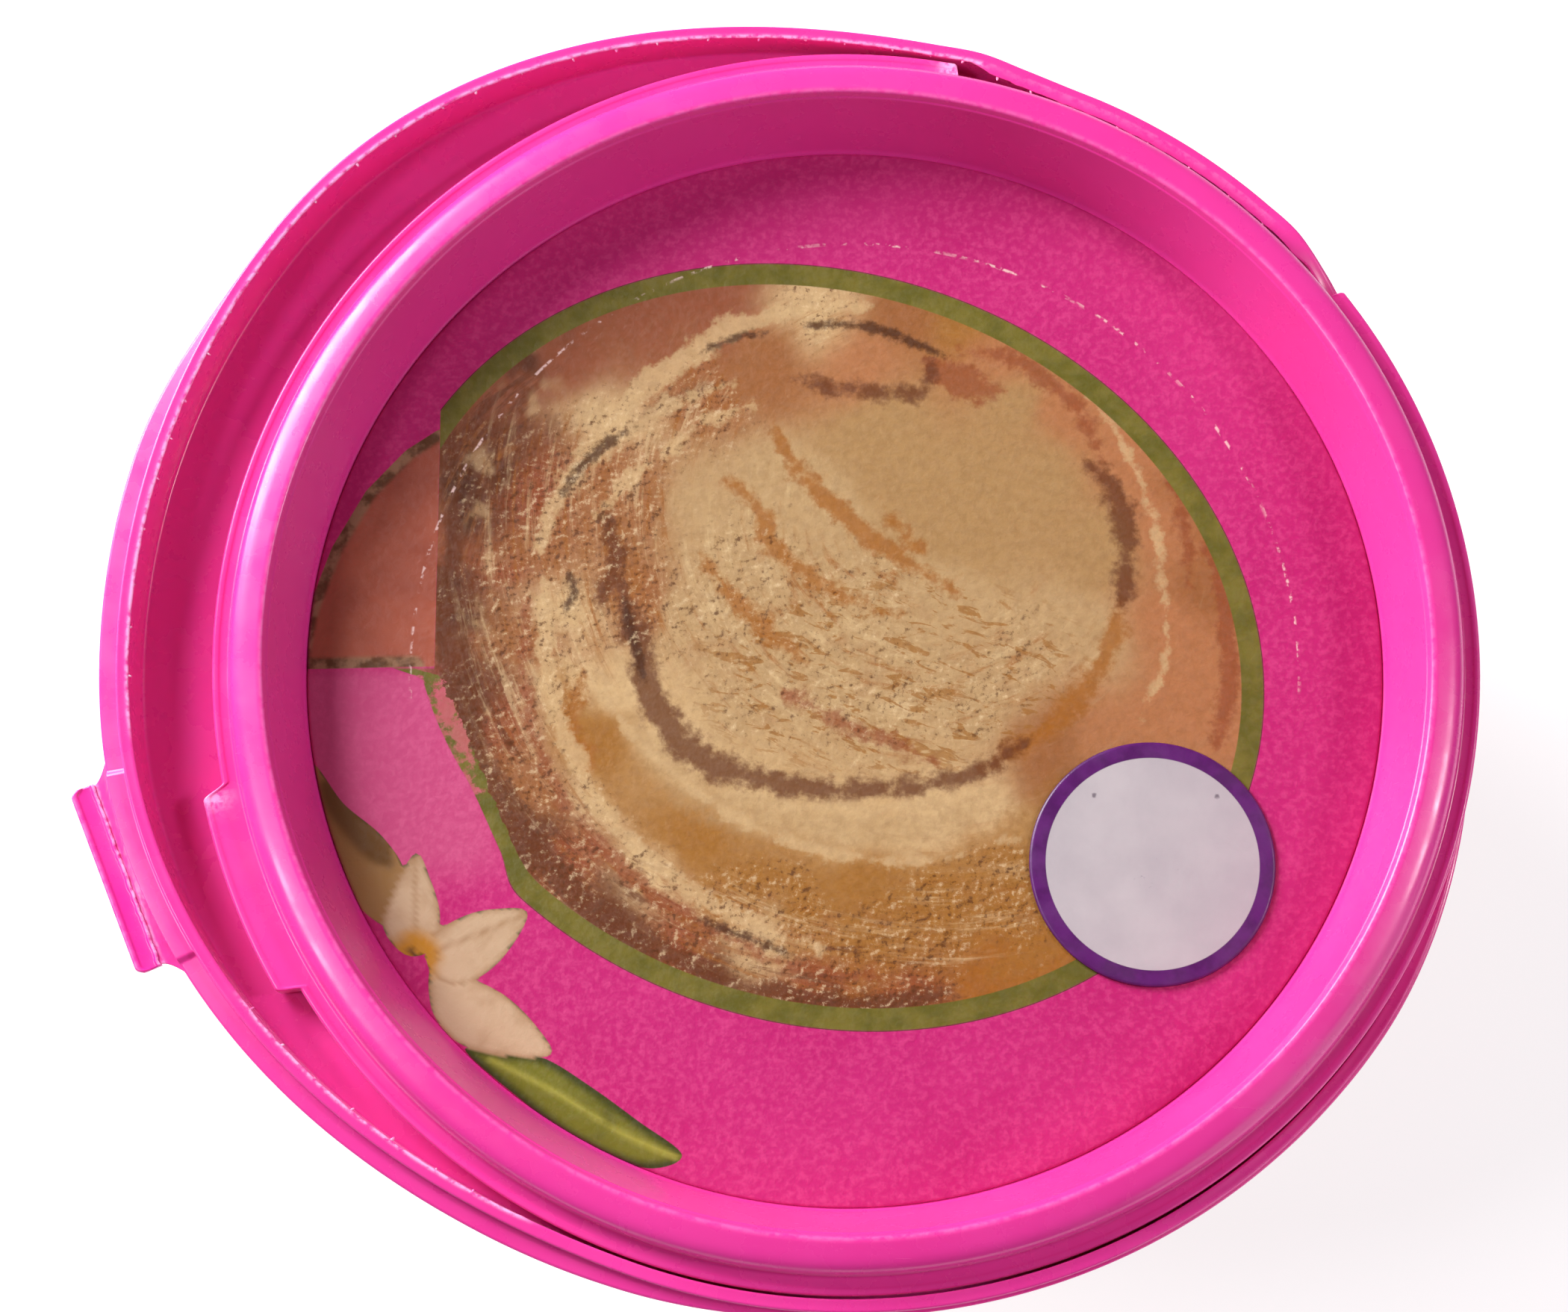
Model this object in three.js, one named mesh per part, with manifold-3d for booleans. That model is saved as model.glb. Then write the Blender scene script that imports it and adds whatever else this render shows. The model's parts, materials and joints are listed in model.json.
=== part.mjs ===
// Round thin-walled plastic tub with a drop-in lid and a loose tamper ring around the lid.
// Millimetres, +Z up, origin at the centre of the tub's base. The lid and the tub share the Z axis.
// The ring is pushed out of round on the -X side, where it leaves a crescent-shaped finger gap, and
// is pulled in under the lid's ledge on the +X side.
import * as THREE from 'three';
import { mergeVertices } from 'three/addons/utils/BufferGeometryUtils.js';
import Module from 'manifold-3d';

const wasm = await Module();
wasm.setup();

const DEG = Math.PI / 180;
const ROUND_STEPS = 84;         // facets round each turned shell
const ARC_STEPS = 14;           // facets along each cut or added sector
const GAP = 0.3;                // air between pieces that rest on each other
const CUT_MARGIN = 2;           // how far a cutter runs past the wall that it cuts

// Tub: driving sizes.
const LEDGE_Z = 100;            // height of the lid's ledge above the base
const TUB_WALL = 1.1;
const TUB_TAPER = 14.8;         // how much the radius shrinks from the rim to the base
const RIM_CLEARANCE = 1.3;      // between the rim and the bead that snaps over it
const FOOT_INSET = 2.5;         // from the wall's foot in to the flat foot ring
const FOOT_WIDTH = 4.5;
const BASE_PAD_R = 40;          // flat middle of the base
const BASE_GROOVE_DEPTH = 1.2;
const BASE_CHAMFER = 2;
const SHOULDER_WIDTH = 4.2;     // flange that carries the tamper ring
const SHOULDER_DROP = 6;        // from the lid's ledge down to the shoulder's top
const SHOULDER_LIP = 5;         // height of the shoulder's turned-down edge

// Lid: driving sizes, heights measured from the ledge's top face.
const LID_WALL = 1.1;
const LID_R = 95;
const LEDGE_WIDTH = 2.8;
const BEAD_WIDTH = 5.8;
const BEAD_TOP = 5;
const WELL_DRAFT = 3.8;         // how much the well narrows from the bead to the panel
const PANEL_DEPTH = 10.6;
const BEAD_SHOULDER = 1;        // drop from the bead's top to its outer corner
const BEAD_ROUND = 0.9;
const LIP_WIDTH = 1.1;          // raised lip round the ledge's edge
const LIP_HEIGHT = 0.5;
const SKIRT_DEPTH = 3.4;

// Gap in the lid's ledge, and the thumb grip that stands out of it.
const LEDGE_GAP_FROM = 32;      // degrees from +X, anticlockwise from above
const LEDGE_GAP_TO = 79;
const GRIP_FROM = 193;
const GRIP_TO = 212;
const GRIP_REACH = 3.2;

// Tamper ring: driving sizes.
const RING_CLEARANCE = 0.4;     // beside the lid's edge where the ring hugs it
const RING_WALL = 1;
const RING_FLANGE = 1.9;
const RING_FLANGE_THICK = 1;
const RING_TOP = 0.6;           // above the ledge where the ring hugs the lid
const RING_FOOT_THICK = 1;
const RING_FOOT_CLEARANCE = 1.4; // between the foot's inner edge and the tub's wall
const BAND_DROP = 0.8;          // from the flange's underside to the outer band
const BAND_THICK = 1.6;
const BAND_WIDTH = 0.6;
const BAND_EXTRA = 2.3;         // how much wider the outer band is on the bulged side
const BAND_RISE = [147, 165];   // degrees over which the outer band widens
const BAND_FALL = [240, 275];
const BULGE = 11;               // how far the ring stands away from the lid
const BULGE_LIFT = 4.4;         // how far its top rises there
const BULGE_RISE = [78, 142];
const BULGE_FALL = [185, 250];
const TUCK = 1.5;               // how far the ring sits inwards, in the ledge's gap
const TUCK_RISE = [34, 40];
const TUCK_FALL = [70, 77];
const SLIP = LEDGE_WIDTH + 0.2; // how far the ring lies inwards where it is under the ledge
const SINK_STRETCH = [290, 324]; // degrees over which its top sinks below the lid's skirt
const SLIP_STRETCH = [322, 358]; // degrees over which it then slips under the ledge
const RISE_STRETCH = [35, 41];  // degrees over which it comes out again, in the ledge's gap

// Tear tab.
const TAB_ANGLE = 198;
const TAB_LENGTH = 29;
const TAB_REACH = 4;
const TAB_THICK = 1.2;
const TAB_CORNER = 1;
const TAB_HINGE_GAP = 0.9;      // slit between the ring and the tab, which turns in it

// Labels.
const FILM = 0.4;
const LABEL_MARGIN = 0.3;       // panel left bare round the lid's label
const BADGE_R = 18.6;
const BADGE_MARGIN = 7.9;       // from the badge's edge to the label's edge
const BADGE_ANGLE = -34;
const WRAP_FROM = 14;           // height of the wrap's lower edge
const WRAP_MARGIN = 5;          // from its upper edge to the shoulder's lip

// Radii and heights that follow from the sizes above.
const BEAD_R = LID_R - LEDGE_WIDTH;
const WELL_TOP_R = BEAD_R - BEAD_WIDTH;
const PANEL_R = WELL_TOP_R - WELL_DRAFT;
const LABEL_R = PANEL_R - LABEL_MARGIN;
const TUB_RIM_R = BEAD_R - LID_WALL - RIM_CLEARANCE;
const TUB_BASE_R = TUB_RIM_R - TUB_TAPER;
const FOOT_R = TUB_BASE_R - FOOT_INSET;
const SHOULDER_R = TUB_RIM_R + SHOULDER_WIDTH;
const SHOULDER_TOP = LEDGE_Z - SHOULDER_DROP;
const SHOULDER_UNDER = SHOULDER_TOP - TUB_WALL;
const WRAP_TO = SHOULDER_TOP - SHOULDER_LIP - WRAP_MARGIN;

function plastic(color, roughness) {
  return new THREE.MeshStandardMaterial({ color, roughness, metalness: 0 });
}

const PINK = plastic(0xf03ca5, 0.25);
const RING_PINK = plastic(0xec2f9a, 0.28);
const TAB_PINK = plastic(0xf15ab0, 0.35);
const LABEL_PRINT = plastic(0xd72373, 0.4);
const BADGE_PRINT = plastic(0xd8d4da, 0.45);
const WRAP_PRINT = plastic(0xd7287c, 0.35);

function turned(points) {
  const profile = points.map(([r, z]) => new THREE.Vector2(r, z));
  return new THREE.LatheGeometry(profile, ROUND_STEPS).rotateX(Math.PI / 2);
}

function toSolid(geometry) {
  const bare = geometry.clone();
  bare.deleteAttribute('normal');
  bare.deleteAttribute('uv');
  const merged = mergeVertices(bare, 1e-4);
  return new wasm.Manifold(new wasm.Mesh({
    numProp: 3,
    vertProperties: merged.attributes.position.array,
    triVerts: new Uint32Array(merged.index.array),
  }));
}

function toGeometry(solid) {
  const mesh = solid.getMesh();
  const geometry = new THREE.BufferGeometry();
  geometry.setAttribute('position', new THREE.BufferAttribute(mesh.vertProperties, 3));
  geometry.setIndex(new THREE.BufferAttribute(mesh.triVerts, 1));
  return geometry;
}

// A flat piece of a ring between two radii and two angles, from height z0 up to z1.
function sector(inner, outer, fromDeg, toDeg, z0, z1) {
  const shape = new THREE.Shape();
  shape.absarc(0, 0, outer, fromDeg * DEG, toDeg * DEG, false);
  shape.absarc(0, 0, inner, toDeg * DEG, fromDeg * DEG, true);
  shape.closePath();
  const options = { depth: z1 - z0, bevelEnabled: false, curveSegments: ARC_STEPS };
  return new THREE.ExtrudeGeometry(shape, options).translate(0, 0, z0);
}

function disc(radius, z0, z1) {
  return turned([[0, z0], [radius, z0], [radius, z1], [0, z1]]);
}

// 0 outside a stretch of the ring, 1 inside it, with a smooth change at both ends.
function along(degrees, rise, fall) {
  const { smoothstep } = THREE.MathUtils;
  return smoothstep(degrees, rise[0], rise[1]) * (1 - smoothstep(degrees, fall[0], fall[1]));
}

// Outside radius of the tub's side wall at height z.
function tubRadius(z) {
  const share = (z - BASE_CHAMFER) / (SHOULDER_UNDER - BASE_CHAMFER);
  return TUB_BASE_R + TUB_TAPER * share;
}

function tubBody() {
  const rimTop = LEDGE_Z + BEAD_TOP - LID_WALL - GAP;
  const floorTop = BASE_GROOVE_DEPTH + TUB_WALL;
  return turned([
    [0, 0],
    [BASE_PAD_R, 0],
    [BASE_PAD_R + BASE_GROOVE_DEPTH, BASE_GROOVE_DEPTH],
    [FOOT_R - FOOT_WIDTH - BASE_GROOVE_DEPTH, BASE_GROOVE_DEPTH],
    [FOOT_R - FOOT_WIDTH, 0],
    [FOOT_R, 0],
    [TUB_BASE_R, BASE_CHAMFER],
    [TUB_RIM_R, SHOULDER_UNDER],
    [SHOULDER_R - TUB_WALL, SHOULDER_UNDER],
    [SHOULDER_R - TUB_WALL, SHOULDER_TOP - SHOULDER_LIP],
    [SHOULDER_R, SHOULDER_TOP - SHOULDER_LIP],
    [SHOULDER_R, SHOULDER_TOP],
    [TUB_RIM_R, SHOULDER_TOP],
    [TUB_RIM_R, rimTop],
    [TUB_RIM_R - TUB_WALL, rimTop],
    [TUB_RIM_R - TUB_WALL, SHOULDER_UNDER],
    [TUB_BASE_R - TUB_WALL, floorTop + BASE_CHAMFER],
    [TUB_BASE_R - TUB_WALL - BASE_CHAMFER, floorTop],
    [0, floorTop],
  ]);
}

function wrapLabel() {
  const clear = GAP + FILM;
  return turned([
    [tubRadius(WRAP_FROM) + GAP, WRAP_FROM],
    [tubRadius(WRAP_FROM) + clear, WRAP_FROM],
    [tubRadius(WRAP_TO) + clear, WRAP_TO],
    [tubRadius(WRAP_TO) + GAP, WRAP_TO],
    [tubRadius(WRAP_FROM) + GAP, WRAP_FROM],
  ]);
}

function lidTurned() {
  const z = (height) => LEDGE_Z + height;
  return turned([
    [0, z(-PANEL_DEPTH - LID_WALL)],
    [PANEL_R + LID_WALL, z(-PANEL_DEPTH - LID_WALL)],
    [WELL_TOP_R + LID_WALL, z(BEAD_TOP - LID_WALL)],
    [BEAD_R - LID_WALL, z(BEAD_TOP - LID_WALL)],
    [BEAD_R - LID_WALL, z(-LID_WALL)],
    [LID_R - LIP_WIDTH, z(-LID_WALL)],
    [LID_R - LIP_WIDTH, z(-SKIRT_DEPTH)],
    [LID_R, z(-SKIRT_DEPTH)],
    [LID_R, z(LIP_HEIGHT)],
    [LID_R - LIP_WIDTH, z(LIP_HEIGHT)],
    [LID_R - LIP_WIDTH, z(0)],
    [BEAD_R, z(0)],
    [BEAD_R - BEAD_ROUND / 3, z(BEAD_TOP - BEAD_SHOULDER - BEAD_ROUND)],
    [BEAD_R - BEAD_ROUND, z(BEAD_TOP - BEAD_SHOULDER)],
    [BEAD_R - 3 * BEAD_ROUND, z(BEAD_TOP - BEAD_SHOULDER / 3)],
    [WELL_TOP_R + BEAD_ROUND, z(BEAD_TOP)],
    [WELL_TOP_R, z(BEAD_TOP - BEAD_ROUND)],
    [PANEL_R, z(-PANEL_DEPTH)],
    [0, z(-PANEL_DEPTH)],
  ]);
}

function lidShell() {
  const low = LEDGE_Z - SKIRT_DEPTH;
  const gapCut = sector(
    BEAD_R + GAP, LID_R + CUT_MARGIN, LEDGE_GAP_FROM, LEDGE_GAP_TO,
    low - CUT_MARGIN, LEDGE_Z + LIP_HEIGHT + CUT_MARGIN,
  );
  const grip = sector(
    LID_R - LIP_WIDTH / 2, LID_R + GRIP_REACH, GRIP_FROM, GRIP_TO,
    LEDGE_Z - LID_WALL, LEDGE_Z + LIP_HEIGHT / 2,
  );
  return toGeometry(toSolid(lidTurned()).subtract(toSolid(gapCut)).add(toSolid(grip)));
}

function lidLabel() {
  const z0 = LEDGE_Z - PANEL_DEPTH + GAP;
  return disc(LABEL_R, z0, z0 + FILM);
}

function lidBadge() {
  const z0 = LEDGE_Z - PANEL_DEPTH + FILM + 2 * GAP;
  return disc(BADGE_R, z0, z0 + FILM);
}

// The ring's section where it is round, as corner points, each with how far it follows the
// ring's outward push (0 to 1), the outer band's extra width, and the rise and sinking of its top.
function ringCorners() {
  const inner = LID_R + RING_CLEARANCE;
  const flangeR = inner + RING_FLANGE;
  const flangeUnder = RING_TOP - RING_FLANGE_THICK;
  const footUnder = -SHOULDER_DROP + GAP;
  const footTop = footUnder + RING_FOOT_THICK;
  const footR = TUB_RIM_R + RING_FOOT_CLEARANCE;
  const bandTop = flangeUnder - BAND_DROP;
  const bandUnder = bandTop - BAND_THICK;
  return {
    footUnderInner: { r: footR, z: footUnder, push: 0, band: 0, lift: 0 },
    wallFoot: { r: inner + RING_WALL, z: footUnder, push: 1, band: 0, lift: 0 },
    wallUnderBand: { r: inner + RING_WALL, z: bandUnder, push: 1, band: 0, lift: 1 },
    bandUnderEdge: { r: flangeR + BAND_WIDTH, z: bandUnder, push: 1, band: 1, lift: 1 },
    bandTopEdge: { r: flangeR + BAND_WIDTH, z: bandTop, push: 1, band: 1, lift: 1 },
    flangeUnderEdge: { r: flangeR, z: flangeUnder, push: 1, band: 0, lift: 1 },
    flangeTopEdge: { r: flangeR, z: RING_TOP, push: 1, band: 0, lift: 1 },
    wallTopInner: { r: inner, z: RING_TOP, push: 1, band: 0, lift: 1 },
    footTopOuter: { r: inner, z: footTop, push: 1, band: 0, lift: 0 },
    footTopInner: { r: footR, z: footTop, push: 0, band: 0, lift: 0 },
  };
}

// Height of a corner where the ring is flattened to fit between the tub's shoulder and the skirt.
function sunkHeight(height) {
  const foot = -SHOULDER_DROP + GAP;
  const flattened = (-SKIRT_DEPTH - GAP - foot) / (RING_TOP - foot);
  return foot + (height - foot) * flattened;
}

function ringPointAt(corner, degrees) {
  const bulge = along(degrees, BULGE_RISE, BULGE_FALL);
  const tuck = along(degrees, TUCK_RISE, TUCK_FALL);
  const band = along(degrees, BAND_RISE, BAND_FALL);
  const sunk = 1 - along(degrees, RISE_STRETCH, SINK_STRETCH);
  const slip = 1 - along(degrees, RISE_STRETCH, SLIP_STRETCH);
  const outward = BULGE * bulge - TUCK * tuck - SLIP * slip;
  const sink = corner.lift * sunk * (sunkHeight(corner.z) - corner.z);
  return {
    r: corner.r + corner.push * outward + corner.band * BAND_EXTRA * band,
    z: LEDGE_Z + corner.z + corner.lift * BULGE_LIFT * bulge + sink,
  };
}

// The ring is turned as a lathe, and each corner is then moved to its place at its angle.
function tamperRing() {
  const section = Object.values(ringCorners());
  const loop = [...section, section[0]];
  const profile = loop.map((corner) => new THREE.Vector2(corner.r, corner.z));
  const geometry = new THREE.LatheGeometry(profile, ROUND_STEPS);
  const position = geometry.attributes.position;
  for (let i = 0; i < position.count; i += 1) {
    const step = Math.floor(i / loop.length) % ROUND_STEPS;
    const degrees = step * 360 / ROUND_STEPS;
    const point = ringPointAt(loop[i % loop.length], degrees);
    const x = point.r * Math.cos(degrees * DEG);
    const y = point.r * Math.sin(degrees * DEG);
    position.setXYZ(i, x, y, point.z);
  }
  return geometry;
}

// The tab lies flat with its hinge edge on the Y axis and points along +X.
function tearTab() {
  const shape = new THREE.Shape();
  const half = TAB_LENGTH / 2;
  shape.moveTo(0, -half);
  shape.lineTo(TAB_REACH - TAB_CORNER, -half);
  shape.absarc(TAB_REACH - TAB_CORNER, -half + TAB_CORNER, TAB_CORNER, -Math.PI / 2, 0, false);
  shape.absarc(TAB_REACH - TAB_CORNER, half - TAB_CORNER, TAB_CORNER, 0, Math.PI / 2, false);
  shape.lineTo(0, half);
  shape.closePath();
  const options = { depth: TAB_THICK, bevelEnabled: false, curveSegments: 3 };
  return new THREE.ExtrudeGeometry(shape, options).translate(0, 0, -TAB_THICK / 2);
}

// The hinge line is parallel to the outer band's edge behind the tab and clears all of that edge.
function tabHinge() {
  const { bandTopEdge } = ringCorners();
  const halfTurn = TAB_LENGTH / 2 / ringPointAt(bandTopEdge, TAB_ANGLE).r / DEG;
  const edge = [];
  for (let i = 0; i <= ARC_STEPS; i += 1) {
    const degrees = TAB_ANGLE + halfTurn * (2 * i / ARC_STEPS - 1);
    const point = ringPointAt(bandTopEdge, degrees);
    edge.push(new THREE.Vector2(point.r, 0).rotateAround(new THREE.Vector2(), degrees * DEG));
  }
  const [first, last] = [edge[0], edge[edge.length - 1]];
  const chord = last.clone().sub(first).normalize();
  const outward = new THREE.Vector2(chord.y, -chord.x);
  const proud = Math.max(...edge.map((point) => point.clone().sub(first).dot(outward)));
  const middle = first.clone().add(last).multiplyScalar(0.5);
  middle.addScaledVector(outward, proud + TAB_HINGE_GAP);
  const z = ringPointAt(bandTopEdge, TAB_ANGLE).z - BAND_THICK / 2;
  return { x: middle.x, y: middle.y, z, turn: outward.angle() };
}

function addMesh(parent, name, geometry, material) {
  const mesh = new THREE.Mesh(geometry, material);
  mesh.name = name;
  parent.add(mesh);
  return mesh;
}

const tub = new THREE.Group();
addMesh(tub, 'tub_body', tubBody(), PINK);
addMesh(tub, 'tub_wrap_label', wrapLabel(), WRAP_PRINT);
addMesh(tub, 'tamper_ring', tamperRing(), RING_PINK);

const lid = new THREE.Group();
addMesh(lid, 'lid_shell', lidShell(), PINK);
addMesh(lid, 'lid_label', lidLabel(), LABEL_PRINT);
const badge = addMesh(lid, 'lid_badge', lidBadge(), BADGE_PRINT);
const badgeReach = LABEL_R - BADGE_MARGIN - BADGE_R;
badge.position.x = badgeReach * Math.cos(BADGE_ANGLE * DEG);
badge.position.y = badgeReach * Math.sin(BADGE_ANGLE * DEG);

const hinge = tabHinge();
const tab = addMesh(tub, 'tear_tab', tearTab(), TAB_PINK);
tab.position.set(hinge.x, hinge.y, hinge.z);
tab.rotation.z = hinge.turn;

const object = new THREE.Group();
object.add(tub, lid);
export default object;
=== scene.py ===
"""Looks for a round plastic tub with a drop-in lid and a loose tamper ring.

Pieces are worked out in millimetres and written in metres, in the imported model's frame. Their
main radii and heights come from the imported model's own boxes and meshes; small roundings, the
lid's section and the printed marks are given here.
"""
import json
import math
import random

import bpy
import numpy as np
from mathutils import Matrix, Vector, noise


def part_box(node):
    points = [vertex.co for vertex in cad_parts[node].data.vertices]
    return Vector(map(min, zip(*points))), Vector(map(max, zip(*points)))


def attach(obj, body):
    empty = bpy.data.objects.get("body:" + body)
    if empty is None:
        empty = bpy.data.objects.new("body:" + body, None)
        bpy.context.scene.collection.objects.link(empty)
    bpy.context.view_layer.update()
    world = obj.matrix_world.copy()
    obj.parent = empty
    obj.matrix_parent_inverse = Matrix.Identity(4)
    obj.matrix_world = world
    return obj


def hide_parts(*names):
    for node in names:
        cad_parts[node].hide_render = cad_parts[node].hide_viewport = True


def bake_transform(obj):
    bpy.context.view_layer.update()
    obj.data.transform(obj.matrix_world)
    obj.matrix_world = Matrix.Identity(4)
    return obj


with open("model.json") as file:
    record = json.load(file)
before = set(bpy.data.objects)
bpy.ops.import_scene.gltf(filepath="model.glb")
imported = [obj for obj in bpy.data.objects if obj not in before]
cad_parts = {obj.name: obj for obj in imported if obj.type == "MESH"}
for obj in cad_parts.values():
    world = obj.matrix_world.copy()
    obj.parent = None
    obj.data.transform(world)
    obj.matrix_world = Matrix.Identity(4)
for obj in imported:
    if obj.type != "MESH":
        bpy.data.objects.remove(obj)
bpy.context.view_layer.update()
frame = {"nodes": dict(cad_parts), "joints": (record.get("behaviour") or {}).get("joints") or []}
MM = 0.001

# ---------------------------------------------------------------- sizes read from the frame
LID_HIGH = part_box("lid_shell")[1]
TUB_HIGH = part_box("tub_body")[1]
LABEL_LOW, LABEL_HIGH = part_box("lid_label")
BADGE_LOW, BADGE_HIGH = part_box("lid_badge")
WRAP_LOW, WRAP_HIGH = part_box("tub_wrap_label")

BEAD_TOP = 5.0                                   # mm, bead above the ledge
LEDGE_Z = LID_HIGH[2] / MM - BEAD_TOP            # mm
LEDGE_WIDTH = 2.8
BEAD_WIDTH = 5.8
WELL_LEAN = 3.8                                  # mm, the well's wall leans in this far
LID_R = LID_HIGH[1] / MM
BEAD_R = LID_R - LEDGE_WIDTH
WELL_TOP_R = BEAD_R - BEAD_WIDTH
PANEL_R = WELL_TOP_R - WELL_LEAN
PANEL_DEPTH = 10.6                               # mm below the ledge
LID_WALL = 1.1
SKIRT_DEPTH = 3.4                                # mm below the ledge
LEDGE_GAP = (32.0, 79.0)                         # degrees where the lid has no ledge
GRIP = (193.0, 212.0)                            # degrees of the thumb grip
GRIP_REACH = 3.2                                 # mm that the grip stands out past the ledge


def lerp(a, b, t):
    return a + (b - a) * t


def smooth(value, low, high):
    """0 below low, 1 above high, eased between; works on numbers and arrays."""
    t = np.clip((value - low) / (high - low), 0.0, 1.0)
    return t * t * (3 - 2 * t)


def window(degrees, span, edge):
    """1 inside a span of degrees and 0 outside, changing over edge degrees."""
    rise = smooth(degrees, span[0] - edge / 2, span[0] + edge / 2)
    fall = smooth(degrees, span[1] - edge / 2, span[1] + edge / 2)
    return float(rise * (1 - fall))


def through(a, b, c, d, t):
    """A smooth curve from b at t = 0 to c at t = 1, given the points a before and d after."""
    return 0.5 * (2 * b + (c - a) * t + (2 * a - 5 * b + 4 * c - d) * t ** 2
                  + (3 * b - a - 3 * c + d) * t ** 3)


def wobble(x, y, z, scale):
    """Smooth noise from -1 to 1 at a place given in millimetres."""
    return noise.noise(Vector((x, y, z)) * scale)


# ---------------------------------------------------------------- mesh building
def rounded(corners, closed=False, steps=4):
    """Corner points (r, z, fillet) as a profile with each corner rounded off."""
    out = []
    count = len(corners)
    for i, (r, z, fillet) in enumerate(corners):
        here = Vector((r, z))
        if fillet <= 0 or (not closed and i in (0, count - 1)):
            out.append((r, z))
            continue
        back = Vector(corners[i - 1][:2]) - here
        ahead = Vector(corners[(i + 1) % count][:2]) - here
        start = here + back.normalized() * min(fillet, back.length * 0.45)
        end = here + ahead.normalized() * min(fillet, ahead.length * 0.45)
        for k in range(steps + 1):
            t = k / steps
            point = start * (1 - t) ** 2 + here * 2 * t * (1 - t) + end * t ** 2
            out.append((point.x, point.y))
    return out


def new_object(name, vertices, faces):
    mesh = bpy.data.meshes.new(name)
    mesh.from_pydata(vertices, [], faces)
    mesh.validate()
    mesh.update()
    mesh.shade_smooth()
    obj = bpy.data.objects.new(name, mesh)
    bpy.context.scene.collection.objects.link(obj)
    return obj


def sweep(name, angles, section, closed=False):
    """Turns a section round the Z axis. section(degrees) gives (r, z) points in millimetres.
    An open section starts and ends on the axis; a closed one is a ring."""
    rows = [section(math.degrees(a)) for a in angles]
    if not closed:
        low, high = rows[0][0][1], rows[0][-1][1]
        rows = [row[1:-1] for row in rows]
    width = len(rows[0])
    vertices = []
    for angle, row in zip(angles, rows):
        c, s = math.cos(angle) * MM, math.sin(angle) * MM
        vertices += [(r * c, r * s, z * MM) for r, z in row]
    faces = []
    last = width if closed else width - 1
    for i in range(len(angles)):
        a, b = i * width, (i + 1) % len(angles) * width
        for j in range(last):
            k = (j + 1) % width
            faces.append((a + j, b + j, b + k, a + k))
    if not closed:
        vertices += [(0, 0, low * MM), (0, 0, high * MM)]
        first_pole, last_pole = len(vertices) - 2, len(vertices) - 1
        for i in range(len(angles)):
            a, b = i * width, (i + 1) % len(angles) * width
            faces.append((first_pole, b, a))
            faces.append((last_pole, a + width - 1, b + width - 1))
    return new_object(name, vertices, faces)


def float_attribute(obj, name, values):
    made = obj.data.attributes.new(name, "FLOAT", "POINT")
    made.data.foreach_set("value", np.asarray(values, dtype=np.float32))


def vector_attribute(obj, name, values):
    made = obj.data.attributes.new(name, "FLOAT_VECTOR", "POINT")
    made.data.foreach_set("vector", np.asarray(values, dtype=np.float32).ravel())


def colour_attribute(obj, name, values):
    made = obj.data.color_attributes.new(name, "FLOAT_COLOR", "POINT")
    rgba = np.ones((len(values), 4), dtype=np.float32)
    rgba[:, :3] = values
    made.data.foreach_set("color", rgba.ravel())


def places(obj):
    """Vertex places in millimetres, as an array."""
    co = np.empty(len(obj.data.vertices) * 3, dtype=np.float32)
    obj.data.vertices.foreach_get("co", co)
    return co.reshape(-1, 3) / MM


# ---------------------------------------------------------------- materials
def linear(red, green, blue):
    """A display colour, 0 to 255, as the linear colour that shaders take."""
    return tuple(((v / 255 + 0.055) / 1.055) ** 2.4 if v > 10 else v / 255 / 12.92
                 for v in (red, green, blue))


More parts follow.
